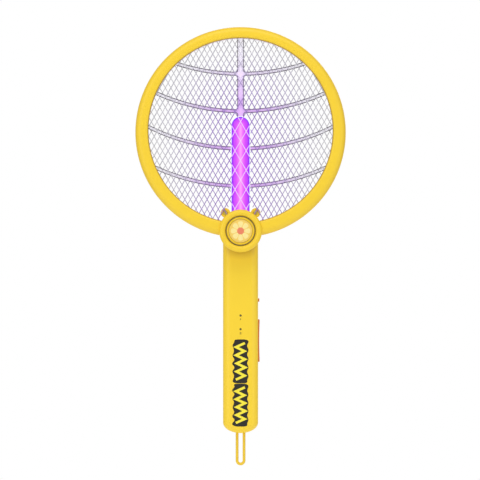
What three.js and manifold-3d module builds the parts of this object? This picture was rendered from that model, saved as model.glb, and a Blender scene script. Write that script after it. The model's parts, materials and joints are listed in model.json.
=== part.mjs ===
// Electric fly swatter: a round three-layer mesh head on a pivot, with a violet lamp, and a flat handle.
// Millimetres, +Z up, the mesh faces -Y. The origin is in the middle of the handle's grip.
import * as THREE from "three";
import { mergeVertices } from "three/addons/utils/BufferGeometryUtils.js";
import Module from "manifold-3d";

// Fits
const CLEARANCE = 0.3; // between pieces that touch, and round a part that slides or turns
const RUNNING_GAP = 0.6; // between the head and the handle that it turns on

// Places along the handle, measured from the middle of the grip
const PIVOT_Z = 160; // head pivot above the grip
const HANDLE_END_Z = -52; // bottom of the handle
const BUTTON_Z = 45; // middle of the press button
const SLIDE_Z = 87.5; // middle of the power slide at rest
const LIGHT_Z = [71.4, 57.1]; // the two indicator lights
const PORT_Z = 75; // charging port

// Head ring
const RING_OUTER_R = 110;
const RING_WIDTH = 13.65;
const RING_DEPTH = 16;
const RING_WALL = 2.2;
const RING_OUTER_ROUND = 6.5;
const RING_INNER_ROUND = 3;
const RING_SCREWS = 6;
const RING_SINK = 2.6; // depth of the screw wells in the back
const RING_SCREW_REACH = 4.2; // how far the ring screws reach past the middle grid
const BOSS_FOOT = 1.5; // how far a boss stops short of the outside, inside its shell's face

// Mesh layers, seen from the front
const GRID_THICK = 0.8;
const LAYER_PITCH = 4.5; // from the high-voltage grid to each safety grid
const CELL_WIDE = 29.15;
const CELL_TALL = 50.75;
const STRAND = 1.8;
const RIM_GRIP = 4.9; // how far the grid rims reach into the ring
const RIB_WIDE = 7; // upright rib
const CROSS_RIB_WIDE = 4;
const CROSS_RIB_R = 215; // the cross ribs sag as arcs of this radius
const CROSS_RIB_PITCH = 39.1;
const CROSS_RIB_LOWEST = -56.2; // lowest cross rib, from the ring's centre

// Hub
const HUB_R = 22.4;
const HUB_FRONT = 11; // how far the hub's rim stands in front of the middle grid
const HUB_EYE_R = 15.7; // round opening that the cap fills
const HUB_RIM_DEEP = 3.35; // half the depth of the hub's rounded rim
const CAP_LIP = 2;
const CAP_FLANGE_THICK = 1.2;
const CAP_BAND = 3.1; // width of the cap's glossy band round the badge
const CAP_SINK = 1.2; // cap's face behind the hub's rim, and badge seat behind the face
const CAP_FACE_THICK = 1.8;
const CAP_SKIRT = 2; // wall of the cap behind its face
const BADGE_THICK = 1.2;
const BADGE_GAP = 0.3; // badge behind its seat's front
const POST_R = 6.5;
const POST_BORE_R = 3;
const POST_FLANGE = 4; // how far the post's flange stands out
const WASHER_THICK = 1;
const NUT_R = 11;

// Lamp
const LAMP_WIDE = 18.8;
const LAMP_DEEP = 7;
const LAMP_TOP = 119.4; // above the pivot
const LAMP_WALL = 1.2;
const LUG_X = 15.75;
const LUG_UP = 18.9; // above the pivot
const LUG_R = 5;
const STRIP_HALF_WIDE = 5;
const STRIP_HALF_THICK = 0.6;

// Handle
const HANDLE_WIDE = 36.75;
const HANDLE_DEEP = 24;
const HANDLE_WALL = 2;
const HANDLE_EDGE = 6.5; // rounding of the long edges
const HANDLE_END_RISE = 11.2; // height of the rounded bottom end
const HANDLE_SINK = 4; // depth of the screw wells in the back
const PORT_WIDE = 9;
const PORT_DEEP = 3.3;
const PORT_LONG = 7;
const PORT_WALL = 0.5;
const HANDLE_SCREWS = [
  [0, 140],
  [-12.4, 27],
  [12.4, 98],
  [-12.4, 98],
]; // x and z of each screw

// Controls
const BUTTON_LONG = 44.7;
const BUTTON_DEEP = 9;
const BUTTON_PROUD = 1.7;
const BUTTON_TRAVEL = 1.3;
const BUTTON_FLANGE = 1.5;
const BUTTON_HOLLOW = 0.5; // depth of the finger hollow
const BUTTON_ROOM = 0.2; // free space between the flange and the wall
const SPRING_LONG = 6;
const SPRING_R = 2;
const PLUNGER_OUT = BUTTON_TRAVEL + 0.5; // plunger between the flange and the switch
const PLUNGER_THICK = 1.6;
const FLANGE_EDGE = 1.5; // how far the button's flange and the knob's cover reach past their slots
const KNOB_TALL = 3.6;
const KNOB_DEEP = 6;
const KNOB_PROUD = 1.4;
const KNOB_TRAVEL = 4;
const LIGHT_R = 0.9;

// Battery, board and loop
const BATTERY_R = 9.2;
const BATTERY_LONG = 65.2;
const BATTERY_RISE = 9.5; // bottom of the battery above the handle's end
const CONTACT_THICK = 0.8;
const BOARD_WIDE = 24;
const BOARD_LONG = 82;
const BOARD_THICK = 1.6;
const CAPACITOR_TALL = 11.5;
const LOOP_WIRE_R = 1.5;
const LOOP_HALF = 3.65; // half the distance between the two legs
const LOOP_LONG = 34;

// Screws
const SCREW_R = 1.1;
const SCREW_HEAD_R = 2.2;
const SCREW_HEAD_THICK = 1.4;
const BOSS_WALL = 1.2;

// Worked out from the values above
const RING_INNER_R = RING_OUTER_R - RING_WIDTH;
const RING_MID_R = RING_OUTER_R - RING_WIDTH / 2;
const RING_Z = PIVOT_Z + RING_MID_R;
const HALF_RING = RING_DEPTH / 2;
const RIM_OUTER_R = RING_INNER_R + RIM_GRIP;
const STACK_HALF = LAYER_PITCH + GRID_THICK / 2;
const HANDLE_FRONT = HALF_RING + RUNNING_GAP;
const HANDLE_BACK = HANDLE_FRONT + HANDLE_DEEP;
const HANDLE_MID = (HANDLE_FRONT + HANDLE_BACK) / 2;
const HALF_HANDLE = HANDLE_WIDE / 2;
const CAP_R = HUB_EYE_R - CLEARANCE;
const CAP_FLANGE_R = HUB_EYE_R + CAP_LIP;
const BADGE_R = CAP_R - CAP_BAND;
const HUB_CORE_R = CAP_FLANGE_R + 2 * CLEARANCE;
const SEAM = 0.15; // half the seam left between two shells
const THROUGH = 60; // half the length of a cut that goes right through

// Facets round the large circles
const RING_SIDES = 40;
const HUB_SIDES = 32;
const SCREW_SIDES = 8;

const YELLOW = { color: 0xf2cf3e, roughness: 0.38, metalness: 0 };
const CREAM = { color: 0xf6efd9, roughness: 0.45, metalness: 0 };
const ORANGE = { color: 0xd07030, roughness: 0.45, metalness: 0 };
const STEEL = { color: 0xb9bcc2, roughness: 0.35, metalness: 1 };
const CLEAR = { color: 0xcfc6e6, roughness: 0.2, metalness: 0 };
const VIOLET = { color: 0xb040f0, roughness: 0.25, metalness: 0 };
const GREEN = { color: 0x1f6b3c, roughness: 0.6, metalness: 0 };
const DARK = { color: 0x2b2b30, roughness: 0.6, metalness: 0 };
const RED = { color: 0xb3282d, roughness: 0.5, metalness: 0 };
const BLUE = { color: 0x3b62a8, roughness: 0.5, metalness: 0 };

const wasm = await Module();
wasm.setup();

// Turns a closed three.js geometry into a solid for joining and cutting.
function solid(geometry) {
  const bare = geometry.clone();
  bare.deleteAttribute("normal");
  bare.deleteAttribute("uv");
  const merged = mergeVertices(bare, 1e-4);
  return new wasm.Manifold(
    new wasm.Mesh({
      numProp: 3,
      vertProperties: new Float32Array(merged.attributes.position.array),
      triVerts: new Uint32Array(merged.index.array),
    }),
  );
}

// Turns a solid back into a three.js geometry.
function geometryOf(made) {
  const mesh = made.getMesh();
  const geometry = new THREE.BufferGeometry();
  geometry.setAttribute(
    "position",
    new THREE.BufferAttribute(mesh.vertProperties, 3),
  );
  geometry.setIndex(new THREE.BufferAttribute(mesh.triVerts, 1));
  geometry.computeVertexNormals();
  return geometry;
}

const join = (...solids) => solids.reduce((all, next) => all.add(next));
const cut = (body, ...tools) => tools.reduce((left, tool) => left.subtract(tool), body);

// A box between two corners.
function box(x0, x1, y0, y1, z0, z1) {
  const geometry = new THREE.BoxGeometry(x1 - x0, y1 - y0, z1 - z0);
  geometry.translate((x0 + x1) / 2, (y0 + y1) / 2, (z0 + z1) / 2);
  return solid(geometry);
}

// A round pin along X, Y or Z, from one place on that axis to another, about the point (u, v).
function pin(axis, radius, from, to, u, v, sides = 16) {
  const geometry = new THREE.CylinderGeometry(radius, radius, to - from, sides);
  const middle = (from + to) / 2;
  if (axis === "x") geometry.rotateZ(Math.PI / 2).translate(middle, u, v);
  if (axis === "y") geometry.translate(u, middle, v);
  if (axis === "z") geometry.rotateX(Math.PI / 2).translate(u, v, middle);
  return solid(geometry);
}

// A profile of [radius, y] points turned about the Y direction through (0, z). The profile is closed
// here, and runs with the material on its left.
function turned(points, z, sides) {
  const profile = points.map(([r, y]) => new THREE.Vector2(r, y));
  profile.push(profile[0].clone());
  const geometry = new THREE.LatheGeometry(profile, sides);
  geometry.translate(0, 0, z);
  return solid(geometry);
}

// Points of an arc from one angle to another, in degrees, about (cr, cy). Its two half axes may differ.
function arc(cr, cy, halfR, from, to, steps, halfY = halfR) {
  return Array.from({ length: steps + 1 }, (_, i) => {
    const angle = THREE.MathUtils.degToRad(from + ((to - from) * i) / steps);
    return [cr + halfR * Math.cos(angle), cy + halfY * Math.sin(angle)];
  });
}

// A flat outline in the XZ plane carried from one Y to another.
function slab(shapes, from, to, curveSegments = 12) {
  const geometry = new THREE.ExtrudeGeometry(shapes, {
    depth: to - from,
    bevelEnabled: false,
    curveSegments,
  });
  geometry.rotateX(Math.PI / 2).translate(0, to, 0);
  return solid(geometry);
}

// The same with both faces' edges rounded inwards from the outline.
function pillow(shape, from, to, edge, curveSegments = 12, steps = 4) {
  const geometry = new THREE.ExtrudeGeometry(shape, {
    depth: to - from - 2 * edge,
    bevelEnabled: true,
    bevelSize: edge,
    bevelThickness: edge,
    bevelOffset: -edge,
    bevelSegments: steps,
    curveSegments,
  });
  geometry.rotateX(Math.PI / 2).translate(0, to - edge, 0);
  return solid(geometry);
}

// The pieces are drawn with the middle mesh layer at Y = 0, and both groups then move so that the
// handle's own middle lies on the origin.
const swatter = new THREE.Group();
const handle = new THREE.Group();
const head = new THREE.Group();
swatter.add(handle, head);
handle.position.y = -HANDLE_MID;
head.position.y = -HANDLE_MID;

function piece(parent, name, made, finish) {
  const mesh = new THREE.Mesh(geometryOf(made), new THREE.MeshStandardMaterial(finish));
  mesh.name = name;
  parent.add(mesh);
}

// ---- Head ring: two shells that clamp the rims of the mesh layers ----

// Section of one ring shell on the +Y side: rounded outside, with a channel for the screw bosses.
function ringSection() {
  const face = stackFace;
  const seat = RIM_OUTER_R + CLEARANCE;
  const channel = seat + BOSS_WALL;
  const outerWall = RING_OUTER_R - RING_WALL;
  return [
    [RING_OUTER_R, SEAM],
    ...arc(RING_OUTER_R - RING_OUTER_ROUND, HALF_RING - RING_OUTER_ROUND, RING_OUTER_ROUND, 0, 90, 3),
    ...arc(RING_INNER_R + RING_INNER_ROUND, HALF_RING - RING_INNER_ROUND, RING_INNER_ROUND, 90, 180, 2),
    [RING_INNER_R, face],
    [seat, face],
    [seat, SEAM],
    [channel, SEAM],
    [channel, face],
    [outerWall, face],
    [outerWall, SEAM],
  ];
}

const mirrorY = (points) => points.map(([r, y]) => [r, -y]).reverse();

// Middle of each ring screw, away from the hub.
function ringScrewPlace(i) {
  const angle = THREE.MathUtils.degToRad(-90 + (360 / RING_SCREWS) * (i + 0.5));
  const r = (RIM_OUTER_R + CLEARANCE + BOSS_WALL + RING_OUTER_R - RING_WALL) / 2;
  return [r * Math.cos(angle), RING_Z + r * Math.sin(angle)];
}

const ringPlaces = Array.from({ length: RING_SCREWS }, (_, i) => ringScrewPlace(i));
const bossR = SCREW_R + BOSS_WALL;
const capFlangeFront = HUB_FRONT - 2 * HUB_RIM_DEEP;
const capFlangeBack = capFlangeFront - CAP_FLANGE_THICK;
const stackFace = STACK_HALF + CLEARANCE;
const stackSpace = pin("y", RIM_OUTER_R + CLEARANCE, -stackFace, stackFace, 0, RING_Z, RING_SIDES);

// Front shell: ring, hub rim like a torus with a round eye, and the bosses that the ring screws bite.
function frontRingShell() {
  const rimR = (HUB_R - HUB_EYE_R) / 2;
  const rimMid = HUB_EYE_R + rimR;
  const inside = HUB_R - RING_WALL;
  const back = capFlangeFront + CLEARANCE;
  const hub = turned(
    mirrorY([
      [HUB_R, SEAM],
      ...arc(rimMid, HUB_FRONT - HUB_RIM_DEEP, rimR, 0, 180, 6, HUB_RIM_DEEP),
      [HUB_EYE_R, back + RING_WALL],
      [HUB_EYE_R, back],
      [inside, back],
      [inside, SEAM],
    ]),
    PIVOT_Z,
    HUB_SIDES,
  );
  const well = pin("y", inside, -back, 0, 0, PIVOT_Z, HUB_SIDES);
  const ring = cut(turned(mirrorY(ringSection()), RING_Z, RING_SIDES), well);
  const foot = BOSS_FOOT - HALF_RING;
  const bosses = ringPlaces.map(([x, z]) => pin("y", bossR, foot, -SEAM, x, z, SCREW_SIDES));
  const depth = RING_SCREW_REACH + 0.4;
  const bites = ringPlaces.map(([x, z]) => pin("y", SCREW_R + CLEARANCE, -depth, 0, x, z, SCREW_SIDES));
  const eye = pin("y", HUB_EYE_R, -HUB_FRONT, -back + 1, 0, PIVOT_Z, HUB_SIDES);
  return cut(join(cut(ring, eye), cut(hub, stackSpace), ...bosses), ...bites);
}

// Rear shell: ring, hub floor with the pivot bore, the two lamp lugs and the screw counterbores.
function rearRingShell() {
  const floor = HALF_RING - RING_WALL;
  const inside = HUB_R - RING_WALL;
  const hub = turned(
    [
      [HUB_R, SEAM],
      ...arc(HUB_R - 2, HALF_RING - 2, 2, 0, 90, 3),
      [POST_R + CLEARANCE, HALF_RING],
      [POST_R + CLEARANCE, floor],
      [inside, floor],
      [inside, SEAM],
    ],
    PIVOT_Z,
    HUB_SIDES,
  );
  const well = pin("y", inside, 0, floor, 0, PIVOT_Z, HUB_SIDES);
  const bore = pin("y", POST_R + CLEARANCE, 0, HALF_RING + 1, 0, PIVOT_Z, 24);
  const ring = cut(turned(ringSection(), RING_Z, RING_SIDES), well, bore);
  const lugs = [-1, 1].map((side) => {
    const [x, z] = [side * LUG_X, PIVOT_Z + LUG_UP];
    const lug = pin("y", LUG_R, stackFace, HALF_RING - 0.4, x, z, 20);
    return cut(lug, pin("y", SCREW_R + CLEARANCE, 0, HALF_RING - 1.2, x, z, SCREW_SIDES));
  });
  const holes = ringPlaces.flatMap(([x, z]) => [
    pin("y", SCREW_R + CLEARANCE, 0, HALF_RING + 1, x, z, SCREW_SIDES),
    pin("y", SCREW_HEAD_R + CLEARANCE, HALF_RING - RING_SINK, HALF_RING + 1, x, z, SCREW_SIDES),
  ]);
  return cut(join(ring, cut(hub, stackSpace), ...lugs), ...holes);
}

piece(head, "front_ring_shell", frontRingShell(), YELLOW);
piece(head, "rear_ring_shell", rearRingShell(), YELLOW);
ringPlaces.forEach(([x, z], i) => {
  const top = HALF_RING - RING_SINK + CLEARANCE + SCREW_HEAD_THICK;
  const shank = pin("y", SCREW_R, -RING_SCREW_REACH, top - 0.5, x, z, SCREW_SIDES);
  const cap = pin("y", SCREW_HEAD_R, top - SCREW_HEAD_THICK, top, x, z, SCREW_SIDES);
  piece(head, `ring_screw_${i + 1}`, join(shank, cap), STEEL);
});

// ---- Mesh layers ----

// One diamond opening, smaller than its cell by the width of a strand.
function diamond(x, z) {
  const slope = Math.hypot(CELL_WIDE, CELL_TALL);
  const halfWide = CELL_WIDE / 2 - (STRAND * slope) / (2 * CELL_TALL);
  const halfTall = CELL_TALL / 2 - (STRAND * slope) / (2 * CELL_WIDE);
  const shape = new THREE.Shape();
  shape.moveTo(x + halfWide, z);
  shape.lineTo(x, z + halfTall);
  shape.lineTo(x - halfWide, z);
  shape.lineTo(x, z - halfTall);
  return shape;
}

// All the diamond openings of a layer, moved by a share of a cell.
function diamonds(shiftX, shiftZ) {
  const wide = Math.ceil((2 * RING_INNER_R) / CELL_WIDE) + 1;
  const tall = Math.ceil((2 * RING_INNER_R) / CELL_TALL) + 1;
  const shapes = [];
  for (let row = -tall; row <= tall; row += 1) {
    for (let column = -wide; column <= wide; column += 1) {
      const x = (column + ((row % 2) + 2) % 2 / 2 + shiftX) * CELL_WIDE;
      const z = (row / 2 + shiftZ) * CELL_TALL;
      if (Math.hypot(x, z) < RING_INNER_R + CELL_TALL / 2) shapes.push(diamond(x, RING_Z + z));
    }
  }
  return slab(shapes, -THROUGH, THROUGH);
}

// Outline round the lamp, bigger than it by a margin, from below the hub's core to over its top.
function lampOutline(margin, bottom) {
  const half = LAMP_WIDE / 2 + margin;
  const shape = new THREE.Shape();
  shape.moveTo(-half, bottom);
  shape.lineTo(half, bottom);
  shape.lineTo(half, PIVOT_Z + LAMP_TOP - LAMP_WIDE / 2);
  shape.absarc(0, PIVOT_Z + LAMP_TOP - LAMP_WIDE / 2, half, 0, Math.PI, false);
  return shape;
}

// A flat mesh disc with the cuts made in it, and whose openings stay clear of the borders.
function grid(y, shiftX, shiftZ, cuts, borders) {
  const low = y - GRID_THICK / 2;
  const high = y + GRID_THICK / 2;
  const disc = pin("y", RIM_OUTER_R, low, high, 0, RING_Z, RING_SIDES);
  const field = pin("y", RING_INNER_R, -THROUGH, THROUGH, 0, RING_Z, RING_SIDES);
  const open = cut(field.intersect(diamonds(shiftX, shiftZ)), ...borders);
  return cut(disc, open, ...cuts);
}

const BORDER = 1.2; // solid strip left round a cut
const hubCore = pin("y", HUB_CORE_R, -THROUGH, THROUGH, 0, PIVOT_Z, 32);
const hubBorder = pin("y", HUB_CORE_R + 2, -THROUGH, THROUGH, 0, PIVOT_Z, 32);
const lampCut = slab(lampOutline(CLEARANCE, PIVOT_Z), -THROUGH, THROUGH);
const lampBorder = slab(lampOutline(CLEARANCE + BORDER, PIVOT_Z), -THROUGH, THROUGH);
const holderTop = PIVOT_Z + LUG_UP;

// A pin right through at each of the two lamp lugs.
function lugPins(radius) {
  return [-1, 1].map((side) => pin("y", radius, -THROUGH, THROUGH, side * LUG_X, holderTop, 20));
}

// Room for the lamp's saddle, bigger than it by a margin.
function saddleSpace(margin) {
  return box(-LUG_X - margin, LUG_X + margin, -THROUGH, THROUGH, PIVOT_Z, holderTop + margin);
}

piece(head, "front_safety_grid", grid(-LAYER_PITCH, 0, 0, [hubCore], [hubBorder]), STEEL);
piece(
  head,
  "high_voltage_grid",
  grid(0, 0.25, 0.25, [hubCore, lampCut, saddleSpace(CLEARANCE), ...lugPins(LUG_R + CLEARANCE)], [
    hubBorder,
    lampBorder,
    saddleSpace(CLEARANCE + BORDER),
    ...lugPins(LUG_R + CLEARANCE + BORDER),
  ]),
  STEEL,
);
piece(
  head,
  "rear_safety_grid",
  grid(LAYER_PITCH, 0.5, 0.25, [hubCore, ...lugPins(SCREW_R + CLEARANCE)], [
    hubBorder,
    saddleSpace(CLEARANCE + BORDER),
    ...lugPins(SCREW_R + CLEARANCE + BORDER),
  ]),
  STEEL,
);

// ---- Spacer frames: a clear ring with one upright rib and sagging cross ribs ----

// One cross rib as a band of an arc whose lowest point is at height z.
function crossRib(z) {
  const reach = Math.asin((RIM_OUTER_R + 5) / CROSS_RIB_R);
  const middle = -Math.PI / 2;
  const shape = new THREE.Shape();
  const centre = z + CROSS_RIB_R;
  shape.absarc(0, centre, CROSS_RIB_R + CROSS_RIB_WIDE / 2, middle - reach, middle + reach, false);
  shape.absarc(0, centre, CROSS_RIB_R - CROSS_RIB_WIDE / 2, middle + reach, middle - reach, true);
  return shape;
}

function spacerFrame(from, to) {
  const seat = pin("y", RIM_OUTER_R, from, to, 0, RING_Z, RING_SIDES);
  const rim = cut(seat, pin("y", RING_INNER_R + 0.8, from - 1, to + 1, 0, RING_Z, RING_SIDES));
  const upright = box(-RIB_WIDE / 2, RIB_WIDE / 2, from, to, PIVOT_Z + LAMP_TOP, RING_Z + RING_INNER_R + 2);
  const lowest = RING_Z + CROSS_RIB_LOWEST;
  const ribs = [0, 1, 2, 3].map((i) => slab(crossRib(lowest + i * CROSS_RIB_PITCH), from, to, 10));
  const crosses = ribs.map((rib) => rib.intersect(seat));
  const lampGap = slab(lampOutline(2 * CLEARANCE, PIVOT_Z), -THROUGH, THROUGH);
  return cut(join(rim, upright, ...crosses), lampGap, hubCore);
}

const spacerNear = GRID_THICK / 2 + CLEARANCE;
const spacerFar = LAYER_PITCH - GRID_THICK / 2 - CLEARANCE;
piece(head, "front_spacer_frame", spacerFrame(-spacerFar, -spacerNear), CLEAR);
piece(head, "rear_spacer_frame", spacerFrame(spacerNear, spacerFar), CLEAR);

// ---- Lamp: a clear flat tube over a strip of lights, held by a saddle with two screw lugs ----

const holderHalf = LAYER_PITCH - GRID_THICK / 2 - 2 * CLEARANCE;

function lampDiffuser() {
  const half = LAMP_DEEP / 2;
  const room = half - LAMP_WALL;
  const outer = pillow(lampOutline(0, holderTop + CLEARANCE), -half, half, 2, 8, 3);
  const inner = pillow(lampOutline(-LAMP_WALL, holderTop - 10), -room, room, 1, 8, 2);
  return cut(outer, inner);
}

// Saddle under the lamp, with a slot for the strip of lights.
function lampHolder() {
  const bottom = PIVOT_Z + NUT_R + 3 * CLEARANCE;
  const bridge = box(-LUG_X, LUG_X, CLEARANCE - capFlangeBack, holderHalf, bottom, holderTop);
  const half = LAMP_WIDE / 2 + CLEARANCE;
  const slotHalf = STRIP_HALF_WIDE + CLEARANCE;
  const slotDeep = STRIP_HALF_THICK + CLEARANCE;
  const sinkTo = SCREW_HEAD_THICK + CLEARANCE - holderHalf;
  const lugs = [-1, 1].map((side) => pin("y", LUG_R, -holderHalf, holderHalf, side * LUG_X, holderTop, 20));
  const lampSpace = box(-half, half, -THROUGH, THROUGH, holderTop, holderTop + LAMP_WIDE);
  const slot = box(-slotHalf, slotHalf, -slotDeep, slotDeep, bottom + 2, holderTop + 1);
  const holes = lugPins(SCREW_R + CLEARANCE);
  const sinks = [-1, 1].map((side) =>
    pin("y", SCREW_HEAD_R + CLEARANCE, -THROUGH, sinkTo, side * LUG_X, holderTop, SCREW_SIDES),
  );
  return cut(join(bridge, ...lugs), lampSpace, slot, ...holes, ...sinks);
}

piece(head, "lamp_diffuser", lampDiffuser(), VIOLET);
const stripTop = PIVOT_Z + LAMP_TOP - 8;
const strip = [-STRIP_HALF_WIDE, STRIP_HALF_WIDE, -STRIP_HALF_THICK, STRIP_HALF_THICK];
piece(head, "lamp_led_strip", box(...strip, holderTop - 4, stripTop), GREEN);
piece(head, "lamp_holder", lampHolder(), YELLOW);
[-1, 1].forEach((side, i) => {
  const x = side * LUG_X;
  const headBack = SCREW_HEAD_THICK - holderHalf;
  const shank = pin("y", SCREW_R, 0.5 - holderHalf, HALF_RING - 1.5, x, holderTop, SCREW_SIDES);
  const top = pin("y", SCREW_HEAD_R, -holderHalf, headBack, x, holderTop, SCREW_SIDES);
  piece(head, `lamp_holder_screw_${i + 1}`, join(shank, top), STEEL);
});

// ---- Hub cap and badge, and the pivot behind them ----

// Cap from behind the hub's eye: a shallow cup whose flange is trapped by the rim.
function hubCap() {
  const front = HUB_FRONT - CAP_SINK;
  const seat = front - CAP_SINK;
  const inside = seat - CAP_FACE_THICK;
  return turned(
    mirrorY([
      [0, seat],
      [0, inside],
      [CAP_R - CAP_SKIRT, inside],
      [CAP_R - CAP_SKIRT, capFlangeBack],
      [CAP_FLANGE_R, capFlangeBack],
      [CAP_FLANGE_R, capFlangeFront],
      [CAP_R, capFlangeFront],
      [CAP_R, front - 1],
      [CAP_R - 0.9, front],
      [BADGE_R + CLEARANCE, front],
      [BADGE_R + CLEARANCE, seat],
    ]).slice(0, -1),
    PIVOT_Z,
    24,
  );
}

piece(head, "hub_cap", hubCap(), YELLOW);
const badgeBack = 2 * CAP_SINK - BADGE_GAP - HUB_FRONT;
piece(head, "badge_disc", pin("y", BADGE_R, badgeBack - BADGE_THICK, badgeBack, 0, PIVOT_Z, 28), CREAM);

const postFlange = HANDLE_FRONT + HANDLE_WALL + CLEARANCE;

// Hollow post, from a flange inside the handle to the nut in the hub. The head's wires pass through it.
function pivotPost() {
  const front = -1;
  const stem = pin("y", POST_R, front, postFlange + 1, 0, PIVOT_Z, 24);
  const flange = pin("y", POST_R + POST_FLANGE, postFlange, postFlange + 2, 0, PIVOT_Z, 24);
  return cut(join(stem, flange), pin("y", POST_BORE_R, -THROUGH, THROUGH, 0, PIVOT_Z, 16));
}

// A flat ring round the post: the washer, or with 6 sides the nut.
function washer(outer, from, to, sides) {
  const bore = pin("y", POST_R + CLEARANCE, -THROUGH, THROUGH, 0, PIVOT_Z, 24);
  return cut(pin("y", outer, from, to, 0, PIVOT_Z, sides), bore);
}

const washerBack = HALF_RING - RING_WALL - CLEARANCE;
piece(handle, "pivot_post", pivotPost(), STEEL);
const washerFront = washerBack - WASHER_THICK;
piece(handle, "wave_washer", washer(NUT_R, washerFront, washerBack, 24), STEEL);
piece(handle, "pivot_nut", washer(NUT_R, 0.5, washerFront - CLEARANCE, 6), STEEL);

// ---- Handle shells ----

// Outline of the handle, smaller than its outside by a margin.
function handleOutline(inset) {
  const half = HALF_HANDLE - inset;
  const bottom = HANDLE_END_Z + HANDLE_END_RISE;
  const shape = new THREE.Shape();
  shape.moveTo(half, bottom);
  shape.absarc(0, PIVOT_Z, half, 0, Math.PI, false);
  shape.absellipse(0, bottom, half, HANDLE_END_RISE - inset, Math.PI, 2 * Math.PI, false, 0);
  return shape;
}

const handleForm = pillow(handleOutline(0), HANDLE_FRONT, HANDLE_BACK, HANDLE_EDGE, 8, 3);
const handleRoom = pillow(
  handleOutline(HANDLE_WALL),
  HANDLE_FRONT + HANDLE_WALL,
  HANDLE_BACK - HANDLE_WALL,
  HANDLE_EDGE - HANDLE_WALL,
  8,
  2,
);
const buttonSlot = box(
  0,
  HANDLE_WIDE,
  HANDLE_MID - BUTTON_DEEP / 2 - CLEARANCE,
  HANDLE_MID + BUTTON_DEEP / 2 + CLEARANCE,
  BUTTON_Z - BUTTON_LONG / 2 - CLEARANCE,
  BUTTON_Z + BUTTON_LONG / 2 + CLEARANCE,
);
const knobSlot = box(
  0,
  HANDLE_WIDE,
  HANDLE_MID - KNOB_DEEP / 2 - CLEARANCE,
  HANDLE_MID + KNOB_DEEP / 2 + CLEARANCE,
  SLIDE_Z - KNOB_TALL / 2 - KNOB_TRAVEL - CLEARANCE,
  SLIDE_Z + KNOB_TALL / 2 + CLEARANCE,
);
const portSlot = box(
  -HANDLE_WIDE,
  0,
  HANDLE_MID - PORT_DEEP / 2 - CLEARANCE,
  HANDLE_MID + PORT_DEEP / 2 + CLEARANCE,
  PORT_Z - PORT_WIDE / 2 - CLEARANCE,
  PORT_Z + PORT_WIDE / 2 + CLEARANCE,
);
const legHoles = [-1, 1].map((side) =>
  pin("z", LOOP_WIRE_R + CLEARANCE, HANDLE_END_Z - 1, HANDLE_END_Z + 8, side * LOOP_HALF, HANDLE_MID, 10),
);
const slots = [buttonSlot, knobSlot, portSlot, ...legHoles];

const wallInside = HALF_HANDLE - HANDLE_WALL;
const flangeOut = wallInside - CLEARANCE - BUTTON_ROOM;
const flangeIn = flangeOut - BUTTON_FLANGE;
const seatX = flangeIn - SPRING_LONG;
const springZ = [BUTTON_Z - 15, BUTTON_Z + 15];
const bossFront = HANDLE_FRONT + HANDLE_WALL - 0.5;

// Front shell: window for the post, holes for the two lights, and the bosses that the screws bite.
function handleFrontShell() {
  const keep = box(-60, 60, HANDLE_FRONT - 1, HANDLE_MID - SEAM, HANDLE_END_Z - 5, PIVOT_Z + 60);
  const bore = pin("y", POST_R + CLEARANCE, 0, HANDLE_MID, 0, PIVOT_Z, 24);
  const lights = LIGHT_Z.map((z) => pin("y", LIGHT_R + CLEARANCE, 0, HANDLE_MID, 0, z, 12));
  const bossBack = HANDLE_MID - SEAM;
  const biteFront = bossFront + 2;
  const biteR = SCREW_R + CLEARANCE;
  const bosses = HANDLE_SCREWS.map(([x, z]) => pin("y", bossR, bossFront, bossBack, x, z, SCREW_SIDES));
  const bites = HANDLE_SCREWS.map(([x, z]) => pin("y", biteR, biteFront, HANDLE_MID, x, z, SCREW_SIDES));
  const shell = cut(handleForm.intersect(keep), handleRoom);
  return cut(join(shell, ...bosses), bore, ...lights, ...slots, ...bites);
}

// Rear shell: pillars that the screw heads sit in, and the ribs that the button's springs push on.
function handleRearShell() {
  const keep = box(-60, 60, HANDLE_MID + SEAM, HANDLE_BACK + 1, HANDLE_END_Z - 5, PIVOT_Z + 60);
  const pillarR = SCREW_HEAD_R + CLEARANCE + BOSS_WALL;
  const pillarFront = HANDLE_MID + SEAM;
  const pillarBack = HANDLE_BACK - 0.5;
  const pillars = HANDLE_SCREWS.map(([x, z]) => pin("y", pillarR, pillarFront, pillarBack, x, z, 16));
  const holes = HANDLE_SCREWS.flatMap(([x, z]) => [
    pin("y", SCREW_R + CLEARANCE, HANDLE_MID, HANDLE_BACK + 1, x, z, SCREW_SIDES),
    pin("y", SCREW_HEAD_R + CLEARANCE, HANDLE_BACK - HANDLE_SINK, HANDLE_BACK + 1, x, z, SCREW_SIDES),
  ]);
  const ribs = springZ.map((z) => box(seatX - 2, seatX, HANDLE_MID - 3, HANDLE_BACK - 1, z - 3, z + 3));
  return cut(join(cut(handleForm.intersect(keep), handleRoom), ...pillars, ...ribs), ...slots, ...holes);
}

piece(handle, "handle_front_shell", handleFrontShell(), YELLOW);
piece(handle, "handle_rear_shell", handleRearShell(), YELLOW);
HANDLE_SCREWS.forEach(([x, z], i) => {
  const top = HANDLE_BACK - HANDLE_SINK + CLEARANCE + SCREW_HEAD_THICK;
  const shank = pin("y", SCREW_R, bossFront + 3, top - 0.5, x, z, SCREW_SIDES);
  const cap = pin("y", SCREW_HEAD_R, top - SCREW_HEAD_THICK, top, x, z, SCREW_SIDES);
  piece(handle, `handle_screw_${i + 1}`, join(shank, cap), STEEL);
});

// ---- Inside the handle: battery, its contacts, the circuit board and what it carries ----

const batteryLow = HANDLE_END_Z + BATTERY_RISE;
const batteryHigh = batteryLow + BATTERY_LONG;
piece(handle, "battery_cell", pin("z", BATTERY_R, batteryLow, batteryHigh, 0, HANDLE_MID, 24), BLUE);

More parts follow.
